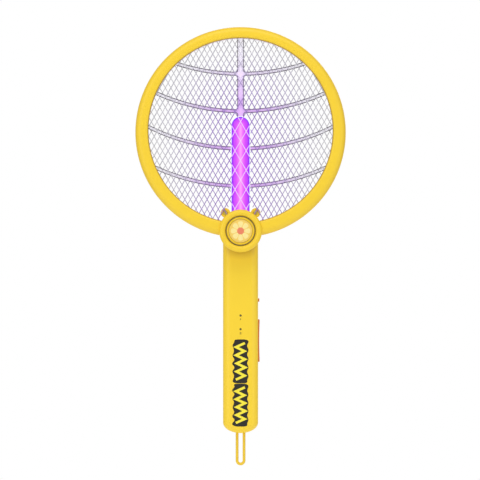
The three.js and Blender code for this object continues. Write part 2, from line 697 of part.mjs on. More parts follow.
// A sprung contact plate across the handle, with the dimple that meets the battery.
function contact(plateAt, tipAt) {
  const half = CONTACT_THICK / 2;
  const plate = box(-8, 8, HANDLE_MID - 7, HANDLE_MID + 7, plateAt - half, plateAt + half);
  const [low, high] = [Math.min(plateAt, tipAt), Math.max(plateAt, tipAt)];
  return join(plate, pin("z", 2.5, low, high, 0, HANDLE_MID, 12));
}

piece(handle, "battery_contact_lower", contact(batteryLow - 1.3, batteryLow - CLEARANCE), STEEL);
piece(handle, "battery_contact_upper", contact(batteryHigh + 1.6, batteryHigh + CLEARANCE), STEEL);

const boardFront = HANDLE_FRONT + 5;
const boardBack = boardFront + BOARD_THICK;
const boardLow = batteryHigh + 4;
const boardHigh = boardLow + BOARD_LONG;
const behindBoard = boardBack + CLEARANCE;

// Board with a notch round each screw boss that it passes.
function circuitBoard() {
  const plain = box(-BOARD_WIDE / 2, BOARD_WIDE / 2, boardFront, boardBack, boardLow, boardHigh);
  const notches = HANDLE_SCREWS.map(([x, z]) => pin("y", bossR + CLEARANCE, 0, THROUGH, x, z, 16));
  return cut(plain, ...notches);
}

piece(handle, "circuit_board", circuitBoard(), GREEN);
const transformer = box(-6.5, 6.5, behindBoard, behindBoard + 10, boardHigh - 16, boardHigh - 3);
piece(handle, "hv_transformer", transformer, DARK);
[0, 1].forEach((i) => {
  const low = boardHigh + 3 + i * (CAPACITOR_TALL + 1);
  const made = box(-7, 7, boardFront, boardFront + 7, low, low + CAPACITOR_TALL);
  piece(handle, `hv_capacitor_${i + 1}`, made, RED);
});

// Socket shell on the left side, with its mouth just inside the wall.
function chargePort() {
  const mouth = 0.4 - HALF_HANDLE;
  const halfDeep = PORT_DEEP / 2;
  const halfWide = PORT_WIDE / 2;
  const shell = box(
    mouth, mouth + PORT_LONG,
    HANDLE_MID - halfDeep, HANDLE_MID + halfDeep,
    PORT_Z - halfWide, PORT_Z + halfWide,
  );
  const room = box(
    mouth - 1.4, mouth + PORT_LONG - 1.4,
    HANDLE_MID - halfDeep + PORT_WALL, HANDLE_MID + halfDeep - PORT_WALL,
    PORT_Z - halfWide + PORT_WALL, PORT_Z + halfWide - PORT_WALL,
  );
  return cut(shell, room);
}

piece(handle, "charge_port", chargePort(), STEEL);
LIGHT_Z.forEach((z, i) => {
  const stem = pin("y", LIGHT_R, HANDLE_FRONT - 0.2, boardFront - CLEARANCE, 0, z, 12);
  const footFront = HANDLE_FRONT + HANDLE_WALL + CLEARANCE;
  const foot = pin("y", LIGHT_R + 1, footFront, boardFront - CLEARANCE, 0, z, 12);
  piece(handle, `indicator_lens_${i + 1}`, join(stem, foot), i ? RED : CLEAR);
});

// ---- Press button: a long cap on a flange, two return springs and the switch that it works ----

const plungerLow = behindBoard + 2.2;
const buttonLow = BUTTON_Z - BUTTON_LONG / 2;
const buttonHigh = BUTTON_Z + BUTTON_LONG / 2;

// Cap with rounded ends and a shallow finger hollow, standing on a wider flange.
function zapButton() {
  const out = HALF_HANDLE + BUTTON_PROUD;
  const r = BUTTON_DEEP / 2;
  const stem = box(flangeOut - 0.1, out, HANDLE_MID - r, HANDLE_MID + r, buttonLow, buttonHigh);
  const hollowR = (BUTTON_LONG * BUTTON_LONG) / (8 * BUTTON_HOLLOW);
  const hollow = pin("y", hollowR, 0, THROUGH, out - BUTTON_HOLLOW + hollowR, BUTTON_Z, 240);
  const side = r + FLANGE_EDGE;
  const [low, high] = [buttonLow - 2, buttonHigh + 2];
  const flange = box(flangeIn, flangeOut, HANDLE_MID - side, HANDLE_MID + side, low, high);
  const pegs = springZ.map((z) => pin("x", 1, flangeIn - 1.2, flangeIn + 0.1, HANDLE_MID, z, 10));
  return join(cut(stem, hollow), flange, ...pegs);
}

// Closed tube that stands for one coil spring, round a peg on the button's flange.
function buttonSpring(z) {
  const tube = pin("x", SPRING_R, seatX + CLEARANCE, flangeIn - CLEARANCE / 2, HANDLE_MID, z, 12);
  return cut(tube, pin("x", SPRING_R - 0.7, seatX, flangeIn, HANDLE_MID, z, 12));
}

// Switch body with the pocket that its plunger moves in.
function microSwitch() {
  const right = flangeIn - PLUNGER_OUT - CLEARANCE;
  const body = box(right - 6.5, right, behindBoard, behindBoard + 6, BUTTON_Z - 6.4, BUTTON_Z + 6.4);
  const pocket = box(
    right - 3.4, right + 1,
    plungerLow - CLEARANCE, plungerLow + PLUNGER_THICK + CLEARANCE,
    BUTTON_Z - 1 - CLEARANCE, BUTTON_Z + 1 + CLEARANCE,
  );
  return cut(body, pocket);
}

piece(handle, "zap_button", zapButton(), ORANGE);
const plungerIn = flangeIn - PLUNGER_OUT - 1.6;
const plungerHigh = plungerLow + PLUNGER_THICK;
const plunger = box(plungerIn, flangeIn - CLEARANCE, plungerLow, plungerHigh, BUTTON_Z - 1, BUTTON_Z + 1);
piece(handle, "switch_plunger", plunger, ORANGE);
springZ.forEach((z, i) => piece(handle, `button_spring_${i + 1}`, buttonSpring(z), STEEL));
piece(handle, "micro_switch_body", microSwitch(), DARK);

// ---- Power slide: a small knob on a cover plate, over a slide switch ----

function powerKnob() {
  const r = KNOB_DEEP / 2;
  const side = r + FLANGE_EDGE;
  const tall = KNOB_TALL / 2;
  const out = HALF_HANDLE + KNOB_PROUD;
  const [coverIn, coverOut] = [wallInside - 1.8, wallInside - 0.8];
  const nub = box(wallInside - 1, out, HANDLE_MID - r, HANDLE_MID + r, SLIDE_Z - tall, SLIDE_Z + tall);
  const cover = box(coverIn, coverOut, HANDLE_MID - side, HANDLE_MID + side, SLIDE_Z - 6, SLIDE_Z + 6);
  const fork = box(coverIn - 2.8, coverIn + 0.1, HANDLE_MID - 1, HANDLE_MID + 1, SLIDE_Z - 1, SLIDE_Z + 1);
  return join(nub, cover, fork);
}

function slideSwitch() {
  const right = wallInside - 2.6;
  const low = SLIDE_Z - KNOB_TRAVEL - 3.4;
  const body = box(right - 6, right, HANDLE_MID - 3.4, HANDLE_MID + 3.4, low, SLIDE_Z + 3.4);
  const track = box(right - 3, right + 1, HANDLE_MID - 1.4, HANDLE_MID + 1.4, low + 1.4, SLIDE_Z + 2);
  return cut(body, track);
}

piece(handle, "power_slide_knob", powerKnob(), ORANGE);
piece(handle, "slide_switch_body", slideSwitch(), DARK);

// ---- Hanging loop: two soft legs joined by a round end, and the anchor inside the handle ----

const legEndZ = HANDLE_END_Z + 0.25;
const loopHingeZ = legEndZ - CLEARANCE - LOOP_WIRE_R;

// Legs with ball ends on the line that the loop bends about.
function hangLoop() {
  const bottom = HANDLE_END_Z - LOOP_LONG + LOOP_WIRE_R + LOOP_HALF;
  const ends = [-1, 1].flatMap((side) => {
    const ball = new THREE.SphereGeometry(LOOP_WIRE_R, 10, 6);
    ball.rotateX(Math.PI / 2).translate(side * LOOP_HALF, HANDLE_MID, loopHingeZ);
    return [solid(ball), pin("z", LOOP_WIRE_R, bottom, loopHingeZ, side * LOOP_HALF, HANDLE_MID, 10)];
  });
  const ring = new THREE.TorusGeometry(LOOP_HALF, LOOP_WIRE_R, 10, 16);
  ring.rotateX(Math.PI / 2).translate(0, HANDLE_MID, bottom);
  const lower = solid(ring).intersect(box(-20, 20, 0, 60, bottom - 20, bottom + 0.1));
  return join(...ends, lower);
}

// Cross bar inside the handle with a stub down each leg hole.
function loopAnchor() {
  const barZ = HANDLE_END_Z + HANDLE_WALL + CLEARANCE + 2.2;
  const bar = pin("x", 1.6, -LOOP_HALF - 1.6, LOOP_HALF + 1.6, HANDLE_MID, barZ, 12);
  const stubs = [-1, 1].map((side) => pin("z", LOOP_WIRE_R, legEndZ, barZ, side * LOOP_HALF, HANDLE_MID, 10));
  return join(bar, ...stubs);
}

piece(handle, "hang_loop", hangLoop(), YELLOW);
piece(handle, "loop_anchor", loopAnchor(), YELLOW);

export default swatter;
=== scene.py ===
"""Electric fly swatter: a round mesh head with a violet lamp on a folding pivot, and a flat yellow handle."""

import json
import math

import bmesh
import bpy
import numpy as np
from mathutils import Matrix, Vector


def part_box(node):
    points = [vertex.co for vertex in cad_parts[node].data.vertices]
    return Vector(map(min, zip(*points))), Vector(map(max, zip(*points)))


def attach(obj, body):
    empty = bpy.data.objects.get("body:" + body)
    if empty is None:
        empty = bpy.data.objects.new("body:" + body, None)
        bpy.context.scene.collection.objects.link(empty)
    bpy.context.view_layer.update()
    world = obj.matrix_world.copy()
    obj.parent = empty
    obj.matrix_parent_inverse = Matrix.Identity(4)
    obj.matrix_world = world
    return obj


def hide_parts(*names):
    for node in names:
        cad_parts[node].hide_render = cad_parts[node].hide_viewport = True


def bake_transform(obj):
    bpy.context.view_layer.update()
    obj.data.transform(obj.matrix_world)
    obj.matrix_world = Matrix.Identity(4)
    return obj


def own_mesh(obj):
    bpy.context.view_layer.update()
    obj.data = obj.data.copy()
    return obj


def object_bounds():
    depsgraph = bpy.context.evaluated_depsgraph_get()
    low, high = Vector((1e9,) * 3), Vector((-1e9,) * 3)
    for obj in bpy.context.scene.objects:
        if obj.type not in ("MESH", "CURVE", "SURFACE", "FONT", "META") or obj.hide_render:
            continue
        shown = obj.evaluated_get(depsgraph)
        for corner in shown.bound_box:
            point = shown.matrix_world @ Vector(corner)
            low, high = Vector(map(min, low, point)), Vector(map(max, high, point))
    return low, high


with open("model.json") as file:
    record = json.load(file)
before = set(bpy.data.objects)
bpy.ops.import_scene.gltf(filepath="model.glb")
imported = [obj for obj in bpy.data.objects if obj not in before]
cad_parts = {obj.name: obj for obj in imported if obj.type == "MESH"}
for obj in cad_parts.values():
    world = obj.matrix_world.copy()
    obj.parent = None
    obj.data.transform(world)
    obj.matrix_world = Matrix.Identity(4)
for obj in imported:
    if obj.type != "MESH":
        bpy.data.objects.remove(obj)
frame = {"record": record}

cad_box = [[float(value) for value in corner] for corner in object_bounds()]
MM = 0.001

# ---- Studio ----
# A white room with a pale floor well below the swatter, and soft lights at both sides, above and behind.
# The camera stands far off and level, so that the round head shows as a true circle.

joints = {joint["name"]: joint for joint in frame["record"]["behaviour"]["joints"]}
pivot = np.array(joints["head_fold"]["pos_m"])
camera_distance = 6.0
view_width = 502 * MM

camera = bpy.data.objects.new("camera", bpy.data.cameras.new("camera"))
camera.location = (-0.6 * MM, pivot[1] - camera_distance, pivot[2] - 9.5 * MM)
camera.rotation_euler = (math.pi / 2, 0, 0)
camera.data.sensor_width = 36
camera.data.lens = camera.data.sensor_width * camera_distance / view_width
bpy.context.scene.collection.objects.link(camera)
bpy.context.scene.camera = camera
bpy.context.scene.view_settings.view_transform = "Standard"


def soft_light(name, place, turn, size, power):
    """A rectangular studio light; turn is its Euler angles, and it shines along its own -Z."""
    lamp = bpy.data.lights.new(name, "AREA")
    lamp.shape = "RECTANGLE"
    lamp.size, lamp.size_y = size
    lamp.energy = power
    holder = bpy.data.objects.new(name, lamp)
    holder.location = place
    holder.rotation_euler = turn
    bpy.context.scene.collection.objects.link(holder)


soft_light("left_softbox", (-1.1, -1.3, 0.5), (math.radians(80), 0, math.radians(-40)), (0.7, 1.6), 6.2)
soft_light("right_softbox", (1.2, -1.2, 0.3), (math.radians(85), 0, math.radians(45)), (0.6, 1.6), 3.6)
soft_light("top_softbox", (0, -0.8, 1.45), (math.radians(33), 0, 0), (1.5, 0.9), 9)
soft_light("rear_softbox", (0.5, 1.5, 0.9), (math.radians(-62), 0, math.radians(-18)), (1.4, 1.0), 7)

world = bpy.data.worlds.new("white_room")
world.use_nodes = True
room = world.node_tree
background = room.nodes["Background"]
seen = room.nodes.new("ShaderNodeLightPath")
level = room.nodes.new("ShaderNodeMapRange")
level.inputs["To Min"].default_value = 0.52
level.inputs["To Max"].default_value = 1.0
room.links.new(seen.outputs["Is Camera Ray"], level.inputs["Value"])
room.links.new(level.outputs["Result"], background.inputs["Strength"])
background.inputs["Color"].default_value = (1, 1, 1, 1)
bpy.context.scene.world = world

floor_mesh = bpy.data.meshes.new("pale_floor")
turns = np.linspace(0, 2 * np.pi, 64, endpoint=False)
floor_ring = np.stack([np.cos(turns), np.sin(turns), np.full(64, cad_box[0][2] - 0.16)], axis=1)
floor_mesh.from_pydata(floor_ring.tolist(), [], [list(range(64))])
pale_floor = bpy.data.objects.new("pale_floor", floor_mesh)
floor_paint = bpy.data.materials.new("floor_paint")
floor_paint.use_nodes = True
floor_paint.node_tree.nodes["Principled BSDF"].inputs["Base Color"].default_value = (0.86, 0.86, 0.86, 1)
floor_paint.node_tree.nodes["Principled BSDF"].inputs["Roughness"].default_value = 0.8
floor_paint.node_tree.nodes["Principled BSDF"].inputs["Emission Color"].default_value = (1, 1, 1, 1)
floor_paint.node_tree.nodes["Principled BSDF"].inputs["Emission Strength"].default_value = 0.25
floor_mesh.materials.append(floor_paint)
bpy.context.scene.collection.objects.link(pale_floor)

# ---- Head ring ----
# The round rim of the head is two moulded shells of yellow plastic with a fine satin grain, closed on
# each other round the edges of the mesh layers and screwed together from behind.


def box_of(node):
    """A CAD node's lowest and highest corners, in millimetres."""
    return tuple(np.array(corner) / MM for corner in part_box(node))


def middle_of(node):
    """The middle of a CAD node's box, in millimetres."""
    low, high = box_of(node)
    return (low + high) / 2


def colour_of(red, green, blue):
    """Linear colour of a display colour given in 0 to 255: the sRGB curve undone for each channel."""
    value = np.array([red, green, blue]) / 255
    linear = np.where(value > 0.04045, ((value + 0.055) / 1.055) ** 2.4, value / 12.92)
    return (*linear.tolist(), 1.0)


def node_group(name, inputs, outputs):
    """An empty shader group with those sockets, its two end nodes and a Texture Coordinate node."""
    group = bpy.data.node_groups.new(name, "ShaderNodeTree")
    for label, kind, value in inputs:
        socket = group.interface.new_socket(label, in_out="INPUT", socket_type=kind)
        socket.default_value = value
    for label, kind in outputs:
        group.interface.new_socket(label, in_out="OUTPUT", socket_type=kind)
    start = group.nodes.new("NodeGroupInput")
    end = group.nodes.new("NodeGroupOutput")
    place = group.nodes.new("ShaderNodeTexCoord")
    return group, start, end, place


def wired(tree, kind, inputs, **settings):
    """Adds a shader node with its settings. Each input is given a value, or another node's output."""
    node = tree.nodes.new("ShaderNode" + kind)
    for name, value in settings.items():
        setattr(node, name, value)
    for label, value in inputs.items():
        if isinstance(value, bpy.types.NodeSocket):
            tree.links.new(value, node.inputs[label])
        else:
            node.inputs[label].default_value = value
    return node


def moulded_grain_group():
    """Moulded plastic: a broad drift of tone from slow noise, fine spark grain from fast noise as a
    height, and a roughness that wanders a little with the tone."""
    group, start, end, place = node_group(
        "moulded_grain",
        [
            ("Colour", "NodeSocketColor", (0.8, 0.8, 0.8, 1)),
            ("Shade", "NodeSocketColor", (0.7, 0.7, 0.7, 1)),
            ("Drift", "NodeSocketFloat", 0.35),
            ("Grain Scale", "NodeSocketFloat", 2600.0),
            ("Roughness", "NodeSocketFloat", 0.4),
            ("Unevenness", "NodeSocketFloat", 0.1),
        ],
        [("Colour", "NodeSocketColor"), ("Roughness", "NodeSocketFloat"), ("Height", "NodeSocketFloat")],
    )
    given = start.outputs
    spot = place.outputs["Object"]
    slow = wired(group, "TexNoise", {"Vector": spot, "Scale": 38, "Detail": 3})
    fast = wired(group, "TexNoise", {"Vector": spot, "Scale": given["Grain Scale"], "Detail": 2})
    amount = wired(group, "Math", {0: slow.outputs["Fac"], 1: given["Drift"]}, operation="MULTIPLY")
    tone = wired(group, "Mix", {"Factor": amount.outputs[0], 6: given["Colour"], 7: given["Shade"]},
                 data_type="RGBA")
    wander = wired(group, "Math", {0: slow.outputs["Fac"], 1: given["Unevenness"], 2: given["Roughness"]},
                   operation="MULTIPLY_ADD")
    group.links.new(tone.outputs[2], end.inputs["Colour"])
    group.links.new(wander.outputs[0], end.inputs["Roughness"])
    group.links.new(fast.outputs["Fac"], end.inputs["Height"])
    return group


moulded_grain = moulded_grain_group()


def new_material(name):
    """A node material, its node tree and its shader."""
    made = bpy.data.materials.new(name)
    made.use_nodes = True
    return made, made.node_tree, made.node_tree.nodes["Principled BSDF"]


def placed_group(tree, group, **values):
    """Places a node group in a material and sets its inputs; an underscore in a name stands for a space."""
    node = tree.nodes.new("ShaderNodeGroup")
    node.node_tree = group
    for label, value in values.items():
        node.inputs[label.replace("_", " ")].default_value = value
    return node


def grained(tree, depth, strength=1.0, **values):
    """Feeds a shader's colour, roughness and normal from the grain group, whose node it returns. depth is
    the height of the grain in millimetres."""
    shader = tree.nodes["Principled BSDF"]
    grain = placed_group(tree, moulded_grain, **values)
    bump = wired(tree, "Bump", {"Distance": depth * MM, "Strength": strength,
                                "Height": grain.outputs["Height"]})
    tree.links.new(grain.outputs["Colour"], shader.inputs["Base Color"])
    tree.links.new(grain.outputs["Roughness"], shader.inputs["Roughness"])
    tree.links.new(bump.outputs["Normal"], shader.inputs["Normal"])
    return grain


def moulded(name, colour, shade, roughness, grain=2600, depth=0.012, drift=0.35, coat=0.0):
    """A moulded plastic: two tones of one colour, a fine grain and, where it is printed or clear, a coat."""
    made, tree, shader = new_material(name)
    grained(tree, depth, 0.6, Colour=colour, Shade=shade, Drift=drift, Grain_Scale=grain,
            Roughness=roughness - 0.05)
    shader.inputs["Coat Weight"].default_value = coat
    shader.inputs["Coat Roughness"].default_value = 0.12
    return made


def mix_in(made, mask, colour):
    """Mixes a colour into whatever feeds a material's base colour, by a mask."""
    tree = made.node_tree
    base = tree.nodes["Principled BSDF"].inputs["Base Color"]
    mix = wired(tree, "Mix", {"Factor": mask, 6: base.links[0].from_socket, 7: colour}, data_type="RGBA")
    tree.links.new(mix.outputs[2], base)


yellow_plastic = moulded("yellow_plastic", colour_of(247, 210, 44), colour_of(239, 197, 30), 0.46)


def round_mask_group():
    """A mask by distance from a line along Y: sqrt(x^2 + (z - height)^2) taken from Start to End as 0 to 1,
    times the Y coordinate taken from Back to Front as 0 to 1, which keeps it off a piece's sides. As they
    stand, Back and Front lie far behind the swatter, where they change nothing."""
    group, start, end, place = node_group(
        "round_mask",
        [
            ("Height", "NodeSocketFloat", 0.0),
            ("Start", "NodeSocketFloat", 0.0),
            ("End", "NodeSocketFloat", 1.0),
            ("Back", "NodeSocketFloat", 1.0),
            ("Front", "NodeSocketFloat", 0.9),
        ],
        [("Mask", "NodeSocketFloat")],
    )
    given = start.outputs
    split = wired(group, "SeparateXYZ", {0: place.outputs["Object"]})
    drop = wired(group, "Math", {0: split.outputs["Z"], 1: given["Height"]}, operation="SUBTRACT")
    flat = wired(group, "CombineXYZ", {"X": split.outputs["X"], "Z": drop.outputs[0]})
    length = wired(group, "VectorMath", {0: flat.outputs[0]}, operation="LENGTH")
    near = wired(group, "MapRange", {"Value": length.outputs["Value"], "From Min": given["Start"],
                                     "From Max": given["End"]})
    facing = wired(group, "MapRange", {"Value": split.outputs["Y"], "From Min": given["Back"],
                                       "From Max": given["Front"]})
    both = wired(group, "Math", {0: near.outputs["Result"], 1: facing.outputs["Result"]},
                 operation="MULTIPLY")
    group.links.new(both.outputs[0], end.inputs["Mask"])
    return group


round_mask = round_mask_group()


def painted_shade(made, height, start, end, colour, **depths):
    """Paints shade into a material: mixes a darker colour in by the round mask, with its sizes and depths in
    millimetres.
    """
    sizes = {"Height": height, "Start": start, "End": end, **depths}
    values = {label: size * MM for label, size in sizes.items()}
    mix_in(made, placed_group(made.node_tree, round_mask, **values).outputs["Mask"], colour)


def grid_faces(rows, columns, close_rows=False, close_columns=False):
    """Quads between neighbours of a rows by columns grid of points, joined round where it closes."""
    row = np.arange(rows if close_rows else rows - 1)
    column = np.arange(columns if close_columns else columns - 1)
    a, b = np.meshgrid(row, column, indexing="ij")
    a, b = a.ravel(), b.ravel()
    next_a = (a + 1) % rows
    next_b = (b + 1) % columns
    corners = [a * columns + b, a * columns + next_b, next_a * columns + next_b, next_a * columns + b]
    return np.stack(corners, axis=1).tolist()


def capped_rows(rows, columns):
    """Faces of a tube whose rows are closed rings of points, with a flat face on the first and the last."""
    faces = grid_faces(rows, columns, close_columns=True)
    return faces + [list(range(columns)), list(range((rows - 1) * columns, rows * columns))]


def capped_columns(rows, columns):
    """Faces of a body whose columns are closed rings, with a flat face on the first and the last."""
    faces = grid_faces(rows, columns, close_rows=True)
    return faces + [[row * columns + column for row in range(rows)] for column in (0, columns - 1)]


def in_space(flat, depth):
    """Points (x, depth, z) from a grid of (x, z) and the depths of its points, or of its columns."""
    deep = np.broadcast_to(depth, flat.shape[:2])
    return np.stack([flat[..., 0], deep, flat[..., 1]], axis=-1).reshape(-1, 3)


def add_piece(name, points, faces, material, body, slot, replaces=(), smooth_angle=40):
    """A mesh piece from points in millimetres, with its faces turned out. It rides on body, if given one."""
    mesh = bpy.data.meshes.new(name)
    mesh.from_pydata((np.asarray(points) * MM).tolist(), [], faces)
    mesh.materials.append(material)
    piece = bpy.data.objects.new(name, mesh)
    bpy.context.scene.collection.objects.link(piece)
    turn_out(mesh)
    mesh.shade_smooth()
    mesh.set_sharp_from_angle(angle=math.radians(smooth_angle))
    if body:
        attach(piece, body)
    if replaces:
        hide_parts(*replaces)
    return piece


def turn_out(mesh):
    """Merges doubled points and makes every face point outwards."""
    work = bmesh.new()
    work.from_mesh(mesh)
    bmesh.ops.remove_doubles(work, verts=work.verts, dist=1e-7)
    bmesh.ops.recalc_face_normals(work, faces=work.faces)
    work.to_mesh(mesh)
    work.free()


def carried(path, sideways, section, closed=False):
    """A section carried along a path in the XZ plane: point = path + side * sideways + depth * Y, where
    (side, depth) runs round the section. Open ends are capped with one face each."""
    path, sideways, section = np.asarray(path), np.asarray(sideways), np.asarray(section)
    points = in_space(path[:, None, :] + section[None, :, :1] * sideways[:, None, :], section[:, 1])
    if closed:
        return points, grid_faces(len(path), len(section), close_rows=True, close_columns=True)
    return points, capped_rows(len(path), len(section))


def merged(*shapes):
    """Several (points, faces) shapes as one, with the faces renumbered."""
    points, faces, count = [], [], 0
    for shape_points, shape_faces in shapes:
        points.append(np.asarray(shape_points))
        faces += [[index + count for index in face] for face in shape_faces]
        count += len(shape_points)
    return np.concatenate(points), faces


def curve(centre, radii, start, end, steps):
    """Points of an elliptic arc: centre + (a cos t, b sin t), with t from start to end in degrees."""
    angle = np.radians(np.linspace(start, end, steps))
    return np.stack([centre[0] + radii[0] * np.cos(angle), centre[1] + radii[1] * np.sin(angle)], axis=1)


ring_low, ring_high = box_of("front_ring_shell")
_, layer_y, pivot_z = pivot / MM
ring_outer = (ring_high[0] - ring_low[0]) / 2
ring_z = ring_high[2] - ring_outer
ring_width = 2 * (ring_outer - (ring_z - pivot_z))
ring_inner = ring_outer - ring_width
ring_middle = ring_outer - ring_width / 2
half_ring = 8.0
ring_wall = 2.2
seam = 0.15
lip = 5.2
outer_round = 6.5
inner_round = 3.0
mesh_lift = 1.8
hub_outer = pivot_z - ring_low[2]
hub_centre = (0.0, pivot_z)
hub_overlap = 1.4
hidden = 2 * math.degrees(math.asin((hub_outer - hub_overlap) / 2 / ring_middle))
ring_turn = np.radians(np.linspace(hidden - 90, 270 - hidden, 240))
ring_out = np.stack([np.cos(ring_turn), np.sin(ring_turn)], axis=1)


def ring_section():
    """Closed section of the rear shell, as (radius from the ring's middle, depth): rounded outside with
    a large radius, a smaller one inside, then the hollow back along the wall."""
    half = ring_width / 2
    outer = curve((half - outer_round, half_ring - outer_round), (outer_round, outer_round), 0, 90, 12)
    inner = curve((inner_round - half, half_ring - inner_round), (inner_round, inner_round), 90, 180, 8)
    wall = half - ring_wall
    back = [(-half, lip), (1.8 - half, lip - 0.1), (wall - 0.6, lip), (wall, lip - 0.8), (wall, seam),
            (half, seam)]
    return np.concatenate([outer, inner, back])


def ring_band(front):
    """The ring's section carried round the head from one side of the hub to the other. Its opening sits
    mesh_lift above its outside, so its width is ring_width - mesh_lift sin(angle)."""
    section = ring_section() * (1, -1 if front else 1) + (0, layer_y)
    width = ring_width - mesh_lift * ring_out[:, 1:]
    return carried(ring_out * (ring_outer - width / 2) + (0, ring_z), ring_out * width / ring_width, section)


def turned(profile, centre=(0.0, 0.0), steps=96, close=True):
    """A profile of (radius, depth) turned about a line along Y through centre. close joins its ends."""
    profile = np.asarray(profile)
    angle = np.linspace(0, 2 * np.pi, steps, endpoint=False)
    out = np.stack([np.cos(angle), np.sin(angle)], axis=1)
    points = in_space(profile[None, :, :1] * out[:, None, :] + np.asarray(centre), profile[:, 1])
    return points, grid_faces(steps, len(profile), close_rows=True, close_columns=close)


hub_front = layer_y - ring_low[1]
eye = 15.7
hub_rim = (hub_outer - eye) / 2
hub_edge = 2.4
post_bore = 6.8


def hub_rim_shape():
    """The hub's front rim: a half torus between the eye and the outside, on a straight skirt."""
    crown = hub_front - hub_rim
    arc = curve((eye + hub_rim, -crown), (hub_rim, -hub_rim), 0, 180, 28)
    inside = hub_outer - ring_wall
    skirt = [(eye, -4.8), (inside, -4.6), (inside, -seam), (hub_outer, -seam)]
    return turned(np.concatenate([arc, skirt]) + (0, layer_y), hub_centre, 128)


def rear_hub_shape():
    """The hub's rear cup: rounded edge, flat floor with the pivot's bore, and a skirt to the seam."""
    edge = curve((hub_outer - hub_edge, half_ring - hub_edge), (hub_edge, hub_edge), 0, 90, 10)
    floor = half_ring - ring_wall
    inside = hub_outer - ring_wall
    inner = [(post_bore, half_ring), (post_bore, floor), (inside, floor), (inside, seam), (hub_outer, seam)]
    return turned(np.concatenate([edge, inner]) + (0, layer_y), hub_centre, 128)


lug_x, _, lug_z = middle_of("lamp_holder_screw_2")
lug_radius = 5.0
lug_edge = 0.6
lug_back = half_ring - 0.4


def lug_shape(side):
    """A round lug behind the mesh that one screw of the lamp saddle bites."""
    edge = curve((lug_radius - lug_edge, lug_back - lug_edge), (lug_edge, lug_edge), 0, 90, 4)
    profile = np.concatenate([[(0, lip + 0.1), (lug_radius, lip + 0.1)], edge, [(0, lug_back)]])
    return turned(profile + (0, layer_y), (side * lug_x, lug_z), 40, close=False)


def ring_tongue():
    """The tongue that bridges the seam inside the ring's outer wall, 0.8 thick and 2 deep."""
    section = np.array([(-0.4, -1), (0.4, -1), (0.4, 1), (-0.4, 1)]) + (0, layer_y)
    return carried(ring_out * (ring_outer - 1.1) + (0, ring_z), ring_out, section)


def hub_tongue():
    """The same tongue turned round the hub's skirt."""
    profile = [(hub_outer - 1.5, -1), (hub_outer - 0.7, -1), (hub_outer - 0.7, 1), (hub_outer - 1.5, 1)]
    return turned(np.array(profile) + (0, layer_y), hub_centre, 128)


# Painted shade: the rim's copy of the yellow is darker in a thin band at the inner edge, where the mesh meets
# the ring, and slightly darker towards the outer edge.
rim_plastic_painted_shade = moulded("rim_plastic_painted_shade", colour_of(247, 210, 44), colour_of(239, 197, 30), 0.46)
painted_shade(rim_plastic_painted_shade, ring_z + mesh_lift, ring_inner + 1.1, ring_inner + 0.4, colour_of(190, 146, 30))
painted_shade(rim_plastic_painted_shade, ring_z, ring_outer - 2.6, ring_outer - 0.4, colour_of(238, 198, 34))
add_piece("front_shell", *ring_band(True), rim_plastic_painted_shade, "head", "yellow_shell",
          replaces=("front_ring_shell",))
add_piece("front_hub_rim", *hub_rim_shape(), yellow_plastic, "head", "yellow_shell")
rear_ring = add_piece("rear_shell", *ring_band(False), rim_plastic_painted_shade, "head", "yellow_shell",
                      replaces=("rear_ring_shell",))
add_piece("rear_hub", *merged(rear_hub_shape(), lug_shape(-1), lug_shape(1)), yellow_plastic, "head",
          "yellow_shell")
seam_plastic = moulded("seam_plastic", colour_of(222, 180, 34), colour_of(208, 164, 26), 0.5)
add_piece("head_seam_tongue", *merged(ring_tongue(), hub_tongue()), seam_plastic, "head", "yellow_shell")

# ---- Mesh layers ----
# Three sheets of expanded aluminium mesh: the live one in the middle, and a guard on each side of it.
# They lie a few millimetres apart, half a cell out of step, with their rims clamped inside the ring.

(_, _, lamp_bottom), (lamp_half, _, lamp_top) = box_of("lamp_diffuser")
cell_wide = 11.66
cell_tall = 20.28
lattice_rise = 0.04
lattice_radius = ring_inner + 3


